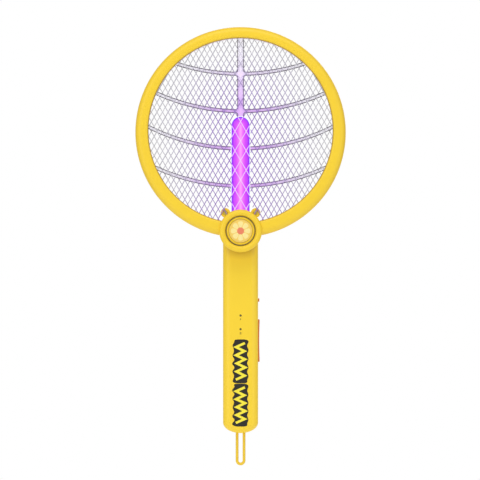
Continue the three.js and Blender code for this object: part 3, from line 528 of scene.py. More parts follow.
def painted_lamp_glow_group():
    """Painted lamp light: how strongly the lamp's violet light is painted into a thing's colour. Distance,
    in metres, is sqrt(x^2 + max(z - dome, 0)^2) from the lamp's middle line in the plane of the head. Amount
    fades smoothly from 1 to 0 at Reach, and mixes Far into Near. Over Lamp takes the place of both in front
    of the lamp itself."""
    group, start, end, place = node_group(
        "painted_lamp_glow",
        [
            ("Far", "NodeSocketColor", (0.5, 0.5, 0.5, 1)),
            ("Near", "NodeSocketColor", (0.3, 0.2, 0.5, 1)),
            ("Over Lamp", "NodeSocketColor", (0.9, 0.7, 1, 1)),
            ("Reach", "NodeSocketFloat", 0.07),
        ],
        [("Colour", "NodeSocketColor"), ("Amount", "NodeSocketFloat"), ("Distance", "NodeSocketFloat")],
    )
    given = start.outputs
    split = wired(group, "SeparateXYZ", {0: place.outputs["Object"]})
    over_dome = wired(group, "Math", {0: split.outputs["Z"], 1: (lamp_top - lamp_half) * MM},
                      operation="SUBTRACT")
    above = wired(group, "Math", {0: over_dome.outputs[0], 1: 0}, operation="MAXIMUM")
    flat = wired(group, "CombineXYZ", {"X": split.outputs["X"], "Z": above.outputs[0]})
    length = wired(group, "VectorMath", {0: flat.outputs[0]}, operation="LENGTH")
    distance = length.outputs["Value"]
    fade = wired(group, "MapRange", {"Value": distance, "From Min": 0.006, "From Max": given["Reach"],
                                     "To Min": 1, "To Max": 0}, interpolation_type="SMOOTHSTEP")
    lamp_light_paint = wired(group, "Mix", {"Factor": fade.outputs["Result"], 6: given["Far"], 7: given["Near"]},
                 data_type="RGBA")
    in_front = wired(group, "Math", {0: distance, 1: lamp_half * MM}, operation="LESS_THAN")
    over = wired(group, "Mix", {"Factor": in_front.outputs[0], 6: lamp_light_paint.outputs[2], 7: given["Over Lamp"]},
                 data_type="RGBA")
    group.links.new(over.outputs[2], end.inputs["Colour"])
    group.links.new(fade.outputs["Result"], end.inputs["Amount"])
    group.links.new(distance, end.inputs["Distance"])
    return group


painted_lamp_glow = painted_lamp_glow_group()


def paint_lamp_light(tree, grain, far, near, over_lamp, reach):
    """Paints the lamp's light into a grained material's colour, and into its emission as painted glow for the
    light it scatters; returns the painted light's node.
    """
    lamp_light_paint = placed_group(tree, painted_lamp_glow, Far=far, Near=near, Over_Lamp=over_lamp, Reach=reach)
    painted_glow = tree.nodes["Principled BSDF"].inputs["Emission Color"]
    for socket in (grain.inputs["Colour"], grain.inputs["Shade"], painted_glow):
        tree.links.new(lamp_light_paint.outputs["Colour"], socket)
    return lamp_light_paint


def lamp_light_painted_finish(name, far, near, over_lamp, painted_glow, metal):
    """A finish with the lamp's violet light painted into its colour where the lamp is close: the expanded
    mesh's metal with its rolling marks, or the ribs' edges. Its fifth argument is the strength of a painted
    glow in that colour, standing for lamp light that it scatters."""
    made, tree, shader = new_material(name)
    paint_lamp_light(tree, grained(tree, 0.02, Grain_Scale=1800, Roughness=0.32), far, near, over_lamp, 0.1)
    shader.inputs["Emission Strength"].default_value = painted_glow
    shader.inputs["Metallic"].default_value = metal
    return made


# Painted light: both mesh metals take the lamp's violet into their colour near it, a lighter lilac as painted
# highlight in front of it, and a painted glow.
guard_metal = lamp_light_painted_finish("guard_mesh_metal", colour_of(178, 178, 182), colour_of(136, 102, 178),
                          colour_of(222, 186, 250), 0.28, 0.35)
live_metal = lamp_light_painted_finish("live_mesh_metal", colour_of(190, 190, 194), colour_of(146, 114, 188),
                         colour_of(208, 150, 248), 0.28, 0.35)


def lattice(depth, strand, shift_x, kept, pieces=6):
    """Expanded mesh as a flat sheet. Diamond holes sit at ((c + (r mod 2) / 2) W, r T / 2). The strand
    between a hole and its upper neighbour is a row of quads from one hole's edge to the other's, and
    the four corners round each crossing make one more quad. kept(x, z) says which quads stay."""
    slant = math.hypot(cell_wide, cell_tall)
    half_wide = cell_wide / 2 - strand * slant / (2 * cell_tall)
    half_tall = cell_tall / 2 - strand * slant / (2 * cell_wide)
    reach = int(lattice_radius / cell_wide) + 3
    rows = np.arange(-2 * reach, 2 * reach)
    row, column = (part.ravel() for part in np.meshgrid(rows, np.arange(-reach, reach), indexing="ij"))
    odd = row % 2
    centre = np.stack([column + odd / 2 + shift_x, row / 2 + lattice_rise], axis=1) * (cell_wide, cell_tall)

    def corner(side, up, move_x=0.0, move_z=0.0):
        return centre + (side * half_wide + move_x * cell_wide, up * half_tall + move_z * cell_tall)

    crossing = [corner(1, 0), corner(0, 1, 0.5, -0.5), corner(-1, 0, 1), corner(0, -1, 0.5, 0.5)]
    quads = [np.stack(crossing, axis=1)]
    for side in (1, -1):
        near_start, near_end = corner(side, 0), corner(0, 1)
        far_start, far_end = corner(0, -1, side / 2, 0.5), corner(-side, 0, side / 2, 0.5)
        for step in range(pieces):
            low, high = step / pieces, (step + 1) / pieces
            ends = [near_start + (near_end - near_start) * share for share in (low, high)]
            others = [far_start + (far_end - far_start) * share for share in (high, low)]
            quads.append(np.stack(ends + others, axis=1))
    quads = np.concatenate(quads)
    middle = quads.mean(axis=1)
    quads = quads[kept(middle[:, 0], middle[:, 1] + ring_z)]
    flat = quads.reshape(-1, 2)
    points = np.stack([flat[:, 0], np.full(len(flat), depth), flat[:, 1] + ring_z], axis=1)
    return points, np.arange(len(points)).reshape(-1, 4).tolist()


def in_ring(x, z):
    """Inside the clamped rim and outside the hub's core."""
    return (np.hypot(x, z - ring_z) < lattice_radius) & (np.hypot(x, z - pivot_z) > hub_outer - 1.6)


def clear_of_lamp(x, z):
    """In the ring, and outside the lamp and its saddle with a small margin."""
    beside = np.abs(x) > lamp_half + 1
    over = z > lamp_top + 1
    lugs = (np.abs(x) < 21.5) & (z < lug_z + 5.6)
    return in_ring(x, z) & (beside | over) & ~lugs


def thickened(piece, thickness):
    """Gives a sheet its thickness, half to each side, and applies it."""
    wall = piece.modifiers.new("thickness", "SOLIDIFY")
    wall.thickness = thickness * MM
    wall.offset = 0
    apply_modifiers(piece)


def apply_modifiers(piece):
    """Replaces a piece's mesh by its evaluated one and drops the modifiers."""
    ready = piece.evaluated_get(bpy.context.evaluated_depsgraph_get())
    finished = bpy.data.meshes.new_from_object(ready)
    piece.modifiers.clear()
    piece.data = finished


layer_pitch = 4.5
mesh_layers = [
    ("front_guard_mesh", "front_safety_grid", -layer_pitch, 0.84, 0.0, in_ring, guard_metal),
    ("live_mesh", "high_voltage_grid", 0.0, 0.74, 0.5, clear_of_lamp, live_metal),
    ("rear_guard_mesh", "rear_safety_grid", layer_pitch, 0.84, 0.0, in_ring, guard_metal),
]
for name, node, offset, strand, shift_x, kept, metal in mesh_layers:
    points, faces = lattice(layer_y + offset, strand, shift_x, kept)
    sheet = add_piece(name, points, faces, metal, "head", "mesh_metal", replaces=(node,))
    thickened(sheet, 0.7)

# ---- Spacer ribs ----
# Two frames of clear plastic keep the three mesh layers apart: an upright rib above the lamp and four
# sagging cross ribs, each a thin web between two raised edges, coloured dark as painted shade for the light
# that leaves them.

rib_half = 2.0
upright_half = 3.5
window_round = 2.2
lamp_gap = 0.8
cross_radius = 215
cross_heights = [ring_z - 56.2 + 39.1 * step for step in range(4)]
rib_reach = ring_inner + 2
rib_edge = np.array([(-0.38, -1.45), (0.38, -1.45), (0.38, 1.45), (-0.38, 1.45)])


def cross_line(height, offset, start, end, steps=40):
    """Points of a cross rib's arc at x from start to end: z = height + C - sqrt((C + offset)^2 - x^2),
    where C is the arc's radius and offset moves the line outwards, that is down."""
    x = np.linspace(start, end, steps)
    return np.stack([x, height + cross_radius - np.sqrt((cross_radius + offset) ** 2 - x**2)], axis=1)


def rounded_corner(before, corner, after, radius, steps=6):
    """A quadratic bend from corner + radius towards before, to corner + radius towards after:
    (1-t)^2 P + 2 t (1-t) corner + t^2 Q."""
    before, corner, after = (np.asarray(point, dtype=float) for point in (before, corner, after))
    first = corner + radius * (before - corner) / np.linalg.norm(before - corner)
    last = corner + radius * (after - corner) / np.linalg.norm(after - corner)
    t = np.linspace(0, 1, steps)[:, None]
    return (1 - t) ** 2 * first + 2 * t * (1 - t) * corner + t**2 * last


def sideways_of(path):
    """Unit normals of a path in its plane: its tangent (dx, dz) turned to (dz, -dx)."""
    tangent = np.gradient(path, axis=0)
    tangent /= np.linalg.norm(tangent, axis=1, keepdims=True)
    return np.stack([tangent[:, 1], -tangent[:, 0]], axis=1)


def strip(path, depth):
    """One raised rib edge carried along a path, centred at that depth."""
    return carried(path, sideways_of(path), rib_edge + (0, depth))


def ring_end(height):
    """The x at which a cross rib's line goes under the ring."""
    x = np.linspace(0, rib_reach, 400)
    z = height + cross_radius - np.sqrt(cross_radius**2 - x**2)
    return x[np.hypot(x, z - ring_z) < rib_reach].max()


def window_edge(side, low, high):
    """The rim of the window between two cross ribs, from the ring along the lower rib to the upright or
    the lamp, up it, and back along the upper rib. low or high is None at the bottom and top windows."""
    paths = []
    over_lamp = [height is not None and height > lamp_top for height in (low, high)]
    wall = side * (upright_half - 0.4)
    inner_ends = [wall if over else side * (lamp_half + lamp_gap) for over in over_lamp]
    edge = rib_half - 0.4
    bottom = None if low is None else cross_line(low, -edge, side * ring_end(low), inner_ends[0])
    top = None if high is None else cross_line(high, edge, inner_ends[1], side * ring_end(high))
    if high is None:
        corner = bottom[-1]
        rise = (wall, ring_z + rib_reach)
        bend = rounded_corner(bottom[-3], corner, rise, window_round)
        paths.append(np.concatenate([bottom[:-2], bend, np.linspace(bend[-1], rise, 12)[1:]]))
    elif over_lamp[0]:
        lower = rounded_corner(bottom[-3], bottom[-1], top[0], window_round)
        upper = rounded_corner(bottom[-1], top[0], top[2], window_round)
        climb = np.linspace(lower[-1], upper[0], 12)[1:-1]
        paths.append(np.concatenate([bottom[:-2], lower, climb, upper, top[2:]]))
    elif over_lamp[1]:
        foot = (wall, lamp_top - lamp_half + math.sqrt((lamp_half + lamp_gap) ** 2 - wall**2))
        upper = rounded_corner(foot, top[0], top[2], window_round)
        paths.append(np.concatenate([np.linspace(foot, upper[0], 4)[:-1], upper, top[2:]]))
        paths.append(bottom)
    else:
        paths += [path for path in (bottom, top) if path is not None]
    return paths


def web(left, right, depth):
    """A thin flat band between two lines of equal length, 0.7 thick."""
    across = np.stack([left, right, right, left], axis=1)
    return in_space(across, np.array([-0.35, -0.35, 0.35, 0.35]) + depth), capped_rows(len(left), 4)


def clear_rib_material():
    """Clear plastic web with painted light: a faint painted glow keeps it nearly colourless far from the
    lamp, and close to it the lamp's lilac light is painted in and the web made more solid.
    """
    made, tree, shader = new_material("clear_rib_plastic")
    grain = grained(tree, 0.01, Grain_Scale=700, Roughness=0.12)
    near = colour_of(204, 166, 222)
    lamp_light_paint = paint_lamp_light(tree, grain, colour_of(224, 220, 232), near, near, 0.085)
    solid_share = wired(tree, "MapRange", {"Value": lamp_light_paint.outputs["Amount"], "To Min": 0.25, "To Max": 0.8})
    tree.links.new(solid_share.outputs["Result"], shader.inputs["Alpha"])
    shader.inputs["Emission Strength"].default_value = 0.5
    return made


rib_web_plastic = clear_rib_material()
# Painted shade: the clear edges are coloured dark grey where light leaves them, and the lamp's light is
# painted in near it.
rib_edge_painted_shade = lamp_light_painted_finish("rib_edge_painted_shade", colour_of(92, 88, 94), colour_of(104, 80, 122),
                               colour_of(104, 80, 122), 0.05, 0)
rim_start = ring_inner + 0.8
rim_stop = lattice_radius + 1.9
rim_profile = np.array([(rim_start, -1.55), (rim_stop, -1.55), (rim_stop, 1.55), (rim_start, 1.55)])
spacer_frames = [("front_spacer", "front_spacer_frame", -1), ("rear_spacer", "rear_spacer_frame", 1)]
for name, node, way in spacer_frames:
    depth = layer_y + way * layer_pitch / 2
    edges = []
    bounds = [None, *cross_heights, None]
    for low, high in zip(bounds[:-1], bounds[1:]):
        for side in (-1, 1):
            edges += [strip(path, depth) for path in window_edge(side, low, high)]
    upright = [np.array([(x, lamp_top + lamp_gap), (x, ring_z + rib_reach)]) for x in (-3.4, 3.4)]
    webs = [web(*upright, depth)]
    for height in cross_heights:
        end = ring_end(height)
        beside = lamp_half + lamp_gap
        spans = [(-end, end)] if height > lamp_top else [(-end, -beside), (beside, end)]
        for start, stop in spans:
            lines = [cross_line(height, offset, start, stop) for offset in (-rib_half + 0.1, rib_half - 0.1)]
            webs.append(web(*lines, depth + 0.06))
    rim_points, rim_faces = turned(rim_profile + (0, depth), (0, ring_z), 160)
    away = np.hypot(rim_points[:, 0], rim_points[:, 2] - pivot_z) > hub_outer - 1
    webs.append((rim_points, [face for face in rim_faces if away[face].all()]))
    add_piece(name + "_web", *merged(*webs), rib_web_plastic, "head", "clear_rib", replaces=(node,))
    add_piece(name + "_edges", *merged(*edges), rib_edge_painted_shade, "head", "clear_rib")

# ---- Lamp ----
# A flat tube of frosted violet plastic with a domed top stands on the hub. A strip of small lights
# inside it makes its middle bright pink and leaves its edges deep violet.


def offset_shell(outline, outward, profile):
    """A body from an outline in the XZ plane and a profile of (inset, depth): point = outline -
    inset * outward normal, at that depth. Both ends of the profile are closed by one flat face."""
    inset, depth = np.asarray(profile).T
    flat = outline[:, None, :] - inset[None, :, None] * outward[:, None, :]
    return in_space(flat, depth), capped_columns(len(outline), len(inset))


dome = curve((0, lamp_top - lamp_half), (lamp_half, lamp_half), 0, 180, 48)
lamp_sides = np.linspace(lamp_top - lamp_half, lamp_bottom, 30)[1:]
left_side = np.stack([np.full(29, -lamp_half), lamp_sides], axis=1)
right_side = np.stack([np.full(29, lamp_half), lamp_sides[::-1]], axis=1)
lamp_outline = np.concatenate([dome, left_side, right_side])
lamp_outward = np.concatenate([(dome - (0, lamp_top - lamp_half)) / lamp_half, left_side * (1, 0) / lamp_half,
                               right_side * (1, 0) / lamp_half])
swell = np.radians(np.linspace(-90, 90, 21))
lamp_profile = np.stack([6.4 * (1 - np.cos(swell)), 3.5 * np.sin(swell) + layer_y], axis=1)
light_pitch = 10.0


def glowing_tube():
    """Light inside the tube: a ramp on the distance from its middle line, times a violet that comes and goes
    between the single lights as 0.07 + 0.07 cos(2 pi z / pitch)."""
    made, tree, shader = new_material("glowing_violet_tube")
    grained(tree, 0.01, Colour=colour_of(96, 30, 130), Shade=colour_of(84, 24, 120), Roughness=0.3)
    lamp_light_paint = placed_group(tree, painted_lamp_glow)
    share = wired(tree, "Math", {0: lamp_light_paint.outputs["Distance"], 1: lamp_half * MM}, operation="DIVIDE")
    ramp = wired(tree, "ValToRGB", {0: share.outputs[0]})
    stops = [
        (0.0, (255, 172, 252)),
        (0.08, (250, 156, 252)),
        (0.22, (240, 120, 252)),
        (0.42, (222, 88, 252)),
        (0.62, (198, 52, 252)),
        (0.84, (180, 44, 250)),
        (0.93, (118, 44, 248)),
        (1.0, (108, 50, 246)),
    ]
    while len(ramp.color_ramp.elements) < len(stops):
        ramp.color_ramp.elements.new(0.5)
    for element, (place, colour) in zip(ramp.color_ramp.elements, stops):
        element.position = place
        element.color = colour_of(*colour)
    where = wired(tree, "TexCoord", {})
    split = wired(tree, "SeparateXYZ", {0: where.outputs["Object"]})
    turns_up = wired(tree, "Math", {0: split.outputs["Z"], 1: 2 * math.pi / (light_pitch * MM)},
                     operation="MULTIPLY")
    wave = wired(tree, "Math", {0: turns_up.outputs[0]}, operation="COSINE")
    lift = wired(tree, "MapRange", {"Value": wave.outputs[0], "From Min": -1, "To Max": 0.14})
    spots = wired(tree, "Mix", {"Factor": lift.outputs["Result"], 6: ramp.outputs[0],
                                7: colour_of(232, 170, 255)}, data_type="RGBA", blend_type="MULTIPLY")
    tree.links.new(spots.outputs[2], shader.inputs["Emission Color"])
    shader.inputs["Emission Strength"].default_value = 0.92
    return made


lamp_shell = offset_shell(lamp_outline, lamp_outward, lamp_profile)
add_piece("lamp_tube", *lamp_shell, glowing_tube(), "head", "lamp_tube", replaces=("lamp_diffuser",),
          smooth_angle=60)

# ---- Hub cap and badge ----
# A glossy yellow cap snaps into the hub's eye and leaves a fine gap round it, darkened by painted shade. It
# carries a domed badge with a daisy in low relief, printed in cream and coral under a clear coat.

cap_radius = eye - 0.3
badge_radius = 12.3
badge_seat = -8.6
cap_gloss_gap_shade = moulded("cap_gloss_gap_shade", colour_of(240, 200, 12), colour_of(232, 190, 8), 0.2, depth=0.004, coat=0.6)
# Painted shade: a dark ring in the gap round the cap.
painted_shade(cap_gloss_gap_shade, pivot_z, 14.3, 14.6, colour_of(150, 132, 62))


def cap_shape():
    """Cap profile: badge seat, glossy band that falls a little outwards with rounded edges, the shoulder
    at the bottom of the gap, and the skirt with its flange behind."""
    band = curve((13.8, -9.1), (0.6, -0.6), 0, 90, 8)[::-1]
    inner = curve((badge_radius + 0.6, -9.4), (0.4, -0.4), 90, 180, 5)[::-1]
    front = np.concatenate([[(0, badge_seat), (badge_radius + 0.2, badge_seat)], inner, band])
    back = [(14.4, -8.3), (cap_radius, -8.2), (cap_radius, -4.4), (eye + 2, -4.4), (eye + 2, -3.2),
            (13.4, -3.2), (13.4, -6.6), (0, -6.6)]
    return turned(np.concatenate([front, back]) + (0, layer_y), hub_centre, 128, close=False)


add_piece("cap_band", *cap_shape(), cap_gloss_gap_shade, "head", "yellow_shell", replaces=("hub_cap",))


def badge_height(radius, angle):
    """Daisy in relief, in millimetres over the badge's back: a gentle dome 1.1 + 0.35 (1 - (r/R)^2), plus
    petals 0.28 sin(pi u^0.75) |cos 4a|^0.6 with u = (r - 3.2) / 8.2, plus a round middle."""
    base = 1.1 + 0.35 * (1 - (radius / badge_radius) ** 2)
    along = np.clip((radius - 3.2) / 8.2, 0, 1)
    petal = np.sin(np.pi * along**0.75) * np.abs(np.cos(4 * angle)) ** 0.6
    heart = np.sqrt(np.clip(1 - (radius / 3.7) ** 2, 0, 1))
    return base + 0.28 * petal + 0.5 * heart, petal, heart


def badge_shape():
    """The relief as a polar grid, with a short wall down to the cap at its edge."""
    rings, spokes = 60, 192
    radius = np.linspace(badge_radius - 0.25, 0.02, rings)
    angle = np.linspace(0, 2 * np.pi, spokes, endpoint=False)
    r, a = np.meshgrid(radius, angle, indexing="ij")
    height, _, _ = badge_height(r, a)
    r = np.concatenate([r[:1], r])
    a = np.concatenate([a[:1], a])
    height = np.concatenate([np.full((1, spokes), 0.1), height])
    flat = np.stack([r * np.sin(a), pivot_z + r * np.cos(a)], axis=-1)
    points = in_space(flat, layer_y + badge_seat - height)
    faces = grid_faces(rings + 1, spokes, close_columns=True)
    faces.append(list(range(rings * spokes, (rings + 1) * spokes)))
    return points, faces


def badge_print():
    """Printed badge: attributes say where the petals and the middle are, with soft edges between the inks."""
    made = moulded("badge_print", colour_of(246, 208, 96), colour_of(240, 198, 84), 0.25, depth=0.004,
                   coat=0.8)
    inks = [
        ("petal", colour_of(252, 232, 150), 0.3, 0.42),
        ("heart", colour_of(238, 132, 92), 0.05, 0.2),
    ]
    for label, ink, low, high in inks:
        mask = wired(made.node_tree, "Attribute", {}, attribute_name=label)
        edge = wired(made.node_tree, "MapRange", {"Value": mask.outputs["Fac"], "From Min": low,
                                                  "From Max": high})
        mix_in(made, edge.outputs["Result"], ink)
    return made


badge = add_piece("daisy_badge", *badge_shape(), badge_print(), "head", "cream_badge",
                  replaces=("badge_disc",))
places = np.empty(3 * len(badge.data.vertices))
badge.data.vertices.foreach_get("co", places)
place_x, _, place_z = places.reshape(-1, 3).T / MM - [[0], [0], [pivot_z]]
_, petal, heart = badge_height(np.hypot(place_x, place_z), np.arctan2(place_x, place_z))
for label, values in (("petal", petal), ("heart", heart)):
    badge.data.attributes.new(label, "FLOAT", "POINT").data.foreach_set("value", values.astype(np.float32))

# ---- Handle ----
# Two shells of the same yellow plastic, closed on each other along the middle of the sides and screwed
# together from the back. Slots in the sides hold the controls and the charging port.

(_, _, handle_end), (half_wide, back_face, _) = box_of("handle_rear_shell")
end_rise = 11.2
end_centre = handle_end + end_rise
flat_share = 10.0 / half_wide
edge_deep = 7.5
handle_wall = 2.0


def handle_outline(shrink=0.0):
    """Outline of the handle as (x, z) and its middle line: a half circle round the pivot on top, straight
    sides, and half an ellipse at the bottom. A surface point is middle + u (outline - middle)."""
    half = half_wide - shrink
    top = curve((0, pivot_z), (half, half), 0, 180, 64)
    side = np.linspace(pivot_z, end_centre, 40)[1:-1]
    left = np.stack([np.full(38, -half), side], axis=1)
    foot = curve((0, end_centre), (half, end_rise - shrink), 180, 360, 64)
    right = np.stack([np.full(38, half), side[::-1]], axis=1)
    outline = np.concatenate([top, left, foot, right])
    middle = np.stack([np.zeros(len(outline)), np.clip(outline[:, 1], end_centre, pivot_z)], axis=1)
    return outline, middle


def scaled_body(profile):
    """A body from the handle's outline and a profile of (share u, depth), closed by flat faces."""
    outline, middle = handle_outline()
    share, depth = np.asarray(profile).T
    flat = middle[:, None, :] + share[None, :, None] * (outline - middle)[:, None, :]
    return in_space(flat, depth), capped_columns(len(outline), len(share))


def half_profile(face, wall):
    """Profile of one shell from the seam to the flat face, then back inside the wall: the edge is a
    quarter ellipse, share = 1 - (1 - flat)(1 - cos t), depth = side + rise sin t."""
    angle = np.radians(np.linspace(0, 90, 15))
    share = 1 - (1 - flat_share) * (1 - np.cos(angle))
    depth = face - edge_deep * (1 - np.sin(angle))
    outside = np.stack([share, depth], axis=1)
    lip_share = 1 - wall / half_wide
    inner_share = lip_share - (lip_share - flat_share + 0.02) * (1 - np.cos(angle))
    inner_depth = face - wall - (edge_deep - wall) * (1 - np.sin(angle))
    inside = np.stack([inner_share, inner_depth], axis=1)[::-1]
    return outside, inside


def handle_shell(way):
    """One hollow shell: outer skin, flat face, inner skin and the seam's lip. way is -1 in front."""
    outside, inside = half_profile(back_face, handle_wall)
    skin = np.concatenate([[(1.0, seam)], outside, [(flat_share - 0.05, back_face)]])
    room = np.concatenate([[(flat_share - 0.05, back_face - handle_wall)], inside,
                           [(1 - handle_wall / half_wide, seam)]])
    outer_points, outer_faces = scaled_body(skin * (1, way))
    inner_points, inner_faces = scaled_body(room * (1, way))
    open_outer = outer_faces[:-2] + outer_faces[-1:]
    open_inner = inner_faces[:-1]
    points, faces = merged((outer_points, open_outer), (inner_points, open_inner))
    outer_lip = np.arange(0, len(outer_points), len(skin))
    inner_lip = np.arange(len(outer_points) + len(room) - 1, len(points), len(room))
    lips = np.stack([outer_lip, np.roll(outer_lip, -1), np.roll(inner_lip, -1), inner_lip], axis=1)
    return points, faces + lips.tolist()


def cutter(points, faces):
    """A closed mesh for cutting, in millimetres."""
    mesh = bpy.data.meshes.new("cutter")
    mesh.from_pydata((np.asarray(points) * MM).tolist(), [], faces)
    turn_out(mesh)
    tool = bpy.data.objects.new("cutter", mesh)
    bpy.context.scene.collection.objects.link(tool)
    return tool


def rounded_corners(half_deep, half_long, radius, steps):
    """The four quarter arcs of a rounded rectangle round (0, 0), in turn."""
    deep, long = half_deep - radius, half_long - radius
    corners = [(deep, long, 0), (-deep, long, 90), (-deep, -long, 180), (deep, -long, 270)]
    return [curve((y, z), (radius, radius), start, start + 90, steps) for y, z, start in corners]


def rounded_bar(x_from, x_to, half_deep, middle_z, half_long, radius):
    """A bar along X whose section in the YZ plane is a rounded rectangle round (0, middle_z)."""
    ring = np.concatenate(rounded_corners(half_deep, half_long, radius, 6)) + (0, middle_z)
    ends = [np.column_stack([np.full(len(ring), x), ring]) for x in (x_from, x_to)]
    return np.concatenate(ends), capped_rows(2, len(ring))


def rod(axis, centre, radius, start, end, sides=32):
    """A closed round bar along X, Y or Z: centre is its place in the other two, in that order."""
    angle = np.linspace(0, 2 * np.pi, sides, endpoint=False)
    first, second = centre[0] + radius * np.cos(angle), centre[1] + radius * np.sin(angle)
    rings = []
    for place in (start, end):
        along = np.full(sides, float(place))
        columns = {"x": [along, first, second], "y": [first, along, second], "z": [first, second, along]}
        rings.append(np.column_stack(columns[axis]))
    return np.concatenate(rings), capped_rows(2, sides)


def cut_out(piece, tools, smooth_angle=38):
    """Cuts the tools out of a piece with exact booleans and removes them."""
    for tool in tools:
        cut = piece.modifiers.new("cut", "BOOLEAN")
        cut.operation = "DIFFERENCE"
        cut.solver = "EXACT"
        cut.object = tool
    apply_modifiers(piece)
    for tool in tools:
        bpy.data.objects.remove(tool)
    piece.data.shade_smooth()
    piece.data.set_sharp_from_angle(angle=math.radians(smooth_angle))


fit = 0.3
flange_lip = 2.0
_, _, button_z = middle_of("zap_button")
_, (button_out, flange_half, flange_top) = box_of("zap_button")
button_half = flange_top - button_z - flange_lip
_, _, slide_z = middle_of("power_slide_knob")
_, _, port_z = middle_of("charge_port")
light_heights = [middle_of(f"indicator_lens_{number}")[2] for number in (1, 2)]
(_, _, loop_low), (loop_reach, loop_radius, _) = box_of("hang_loop")
loop_half = loop_reach - loop_radius
knob_half = 1.8
slide_travel = joints["power_slide_move"]["range_m"][1] / MM
side_slots = [
    rounded_bar(10, half_wide + 5, 4.8, button_z, button_half + fit, 1.6),
    rounded_bar(10, half_wide + 5, 3.3, slide_z - slide_travel / 2, knob_half + slide_travel / 2 + fit, 0.8),
    rounded_bar(-half_wide - 5, -10, 1.95, port_z, 4.8, 1.9),
]
leg_holes = [rod("z", (side * loop_half, 0), loop_radius + fit, handle_end - 2, handle_end + 8)
             for side in (-1, 1)]
handle_yellow = moulded("handle_yellow", colour_of(249, 213, 48), colour_of(242, 201, 36), 0.4)
# Painted shadow: the front shell's own copy of the yellow is darker on its flat face just under the hub,
# where the hub's shadow falls.
handle_front_hub_shadow = moulded("handle_front_hub_shadow", colour_of(249, 213, 48), colour_of(242, 201, 36), 0.4)
painted_shade(handle_front_hub_shadow, pivot_z, hub_outer + 8, hub_outer - 1, colour_of(214, 180, 44),
      Back=3.2 - back_face, Front=0.2 - back_face)
front = add_piece("handle_front", *handle_shell(-1), handle_front_hub_shadow, "handle", "yellow_shell",
                  replaces=("handle_front_shell",))
light_holes = [rod("y", (0, z), 1.15, -back_face - 2, -back_face + 4) for z in light_heights]
post_hole = [rod("y", hub_centre, post_bore, -back_face - 2, -back_face + 6, 48)]
cut_out(front, [cutter(*shape) for shape in side_slots + leg_holes + light_holes + post_hole])

handle_screws = [middle_of(f"handle_screw_{number}")[[0, 2]] for number in range(1, 5)]
well_radius = 2.5
shank_bore = 1.4
pillar_radius = 3.7
well_floor = back_face - 4
wells = [rod("y", place, well_radius, well_floor, back_face + 2) for place in handle_screws]
rear = add_piece("handle_rear", *handle_shell(1), handle_yellow, "handle", "yellow_shell",
                 replaces=("handle_rear_shell",))
cut_out(rear, [cutter(*shape) for shape in side_slots + leg_holes + wells])


def handle_tongue():
    """The tongue that bridges the handle's seam: the outline drawn in by 0.8 to 1.5, and 2 deep."""
    outer, _ = handle_outline(0.8)
    inner, _ = handle_outline(1.5)
    return carried(outer, outer - inner, [(-1, -1), (0, -1), (0, 1), (-1, 1)], closed=True)


tongue = add_piece("handle_seam_tongue", *handle_tongue(), seam_plastic, "handle", "yellow_shell")
cut_out(tongue, [cutter(*shape) for shape in side_slots + leg_holes])


def well_cup(place, top, floor, foot):
    """The pillar that lines a screw well: a tube with a floor and a hole for the shank."""
    profile = [(well_radius, top - 0.02), (well_radius, floor), (shank_bore, floor), (shank_bore, foot),
               (pillar_radius, foot), (pillar_radius, top - 1.9), (2.9, top - 1.0), (2.6, top - 0.4)]
    return turned(profile, place, 40)


handle_cups = [well_cup(place, back_face - 1.78, well_floor, fit) for place in handle_screws]
add_piece("handle_pillars", *merged(*handle_cups), handle_yellow, "handle", "yellow_shell")

# ---- Screws ----
# Small zinc-plated pan-head screws with a cross recess hold the shells together from behind, and two
# more, yellow-passivated, hold the lamp's saddle on its lugs.

screw_radius = 2.2
screw_head = 1.4
screw_rows = np.concatenate([np.linspace(0.02, 1.7, 22), np.linspace(1.78, screw_radius, 7)])
screw_spokes = 64


def screw_shape(place, top, way, shank_end):
    """A pan head facing way along Y, as a polar grid: height = top - 0.45 (r / 2.2)^6 - 0.75 where a
    cross of arms 0.5 wide and 2.6 long is sunk, with soft edges. Its shank is a plain bar."""
    spokes = np.linspace(0, 2 * np.pi, screw_spokes, endpoint=False)
    radius, angle = np.meshgrid(screw_rows, spokes, indexing="ij")
    across, up = radius * np.cos(angle + 0.5), radius * np.sin(angle + 0.5)
    arms = [np.clip((0.34 - abs(u)) / 0.12, 0, 1) * np.clip((1.35 - abs(v)) / 0.2, 0, 1) for u, v in
            ((across, up), (up, across))]
    height = screw_head - 0.45 * (radius / screw_radius) ** 6 - 0.75 * np.maximum(*arms)
    radius = np.concatenate([radius, radius[-1:], radius[:1]])
    angle = np.concatenate([angle, angle[-1:], angle[:1]])
    height = np.concatenate([height, np.zeros((2, screw_spokes))])
    flat = np.stack([place[0] + radius * np.cos(angle), place[1] + radius * np.sin(angle)], axis=-1)
    head = in_space(flat, top + way * (height - screw_head)), capped_rows(*radius.shape)
    return merged(head, rod("y", place, 1.1, top - way * 1.3, shank_end, 20))


def plated(name, colour, shade, roughness):
    """Plated steel: a metal with a faint cloudy tone and the fine marks of tumbling."""
    made = moulded(name, colour, shade, roughness, grain=3400, depth=0.02, drift=0.8)
    made.node_tree.nodes["Principled BSDF"].inputs["Metallic"].default_value = 1.0
    return made


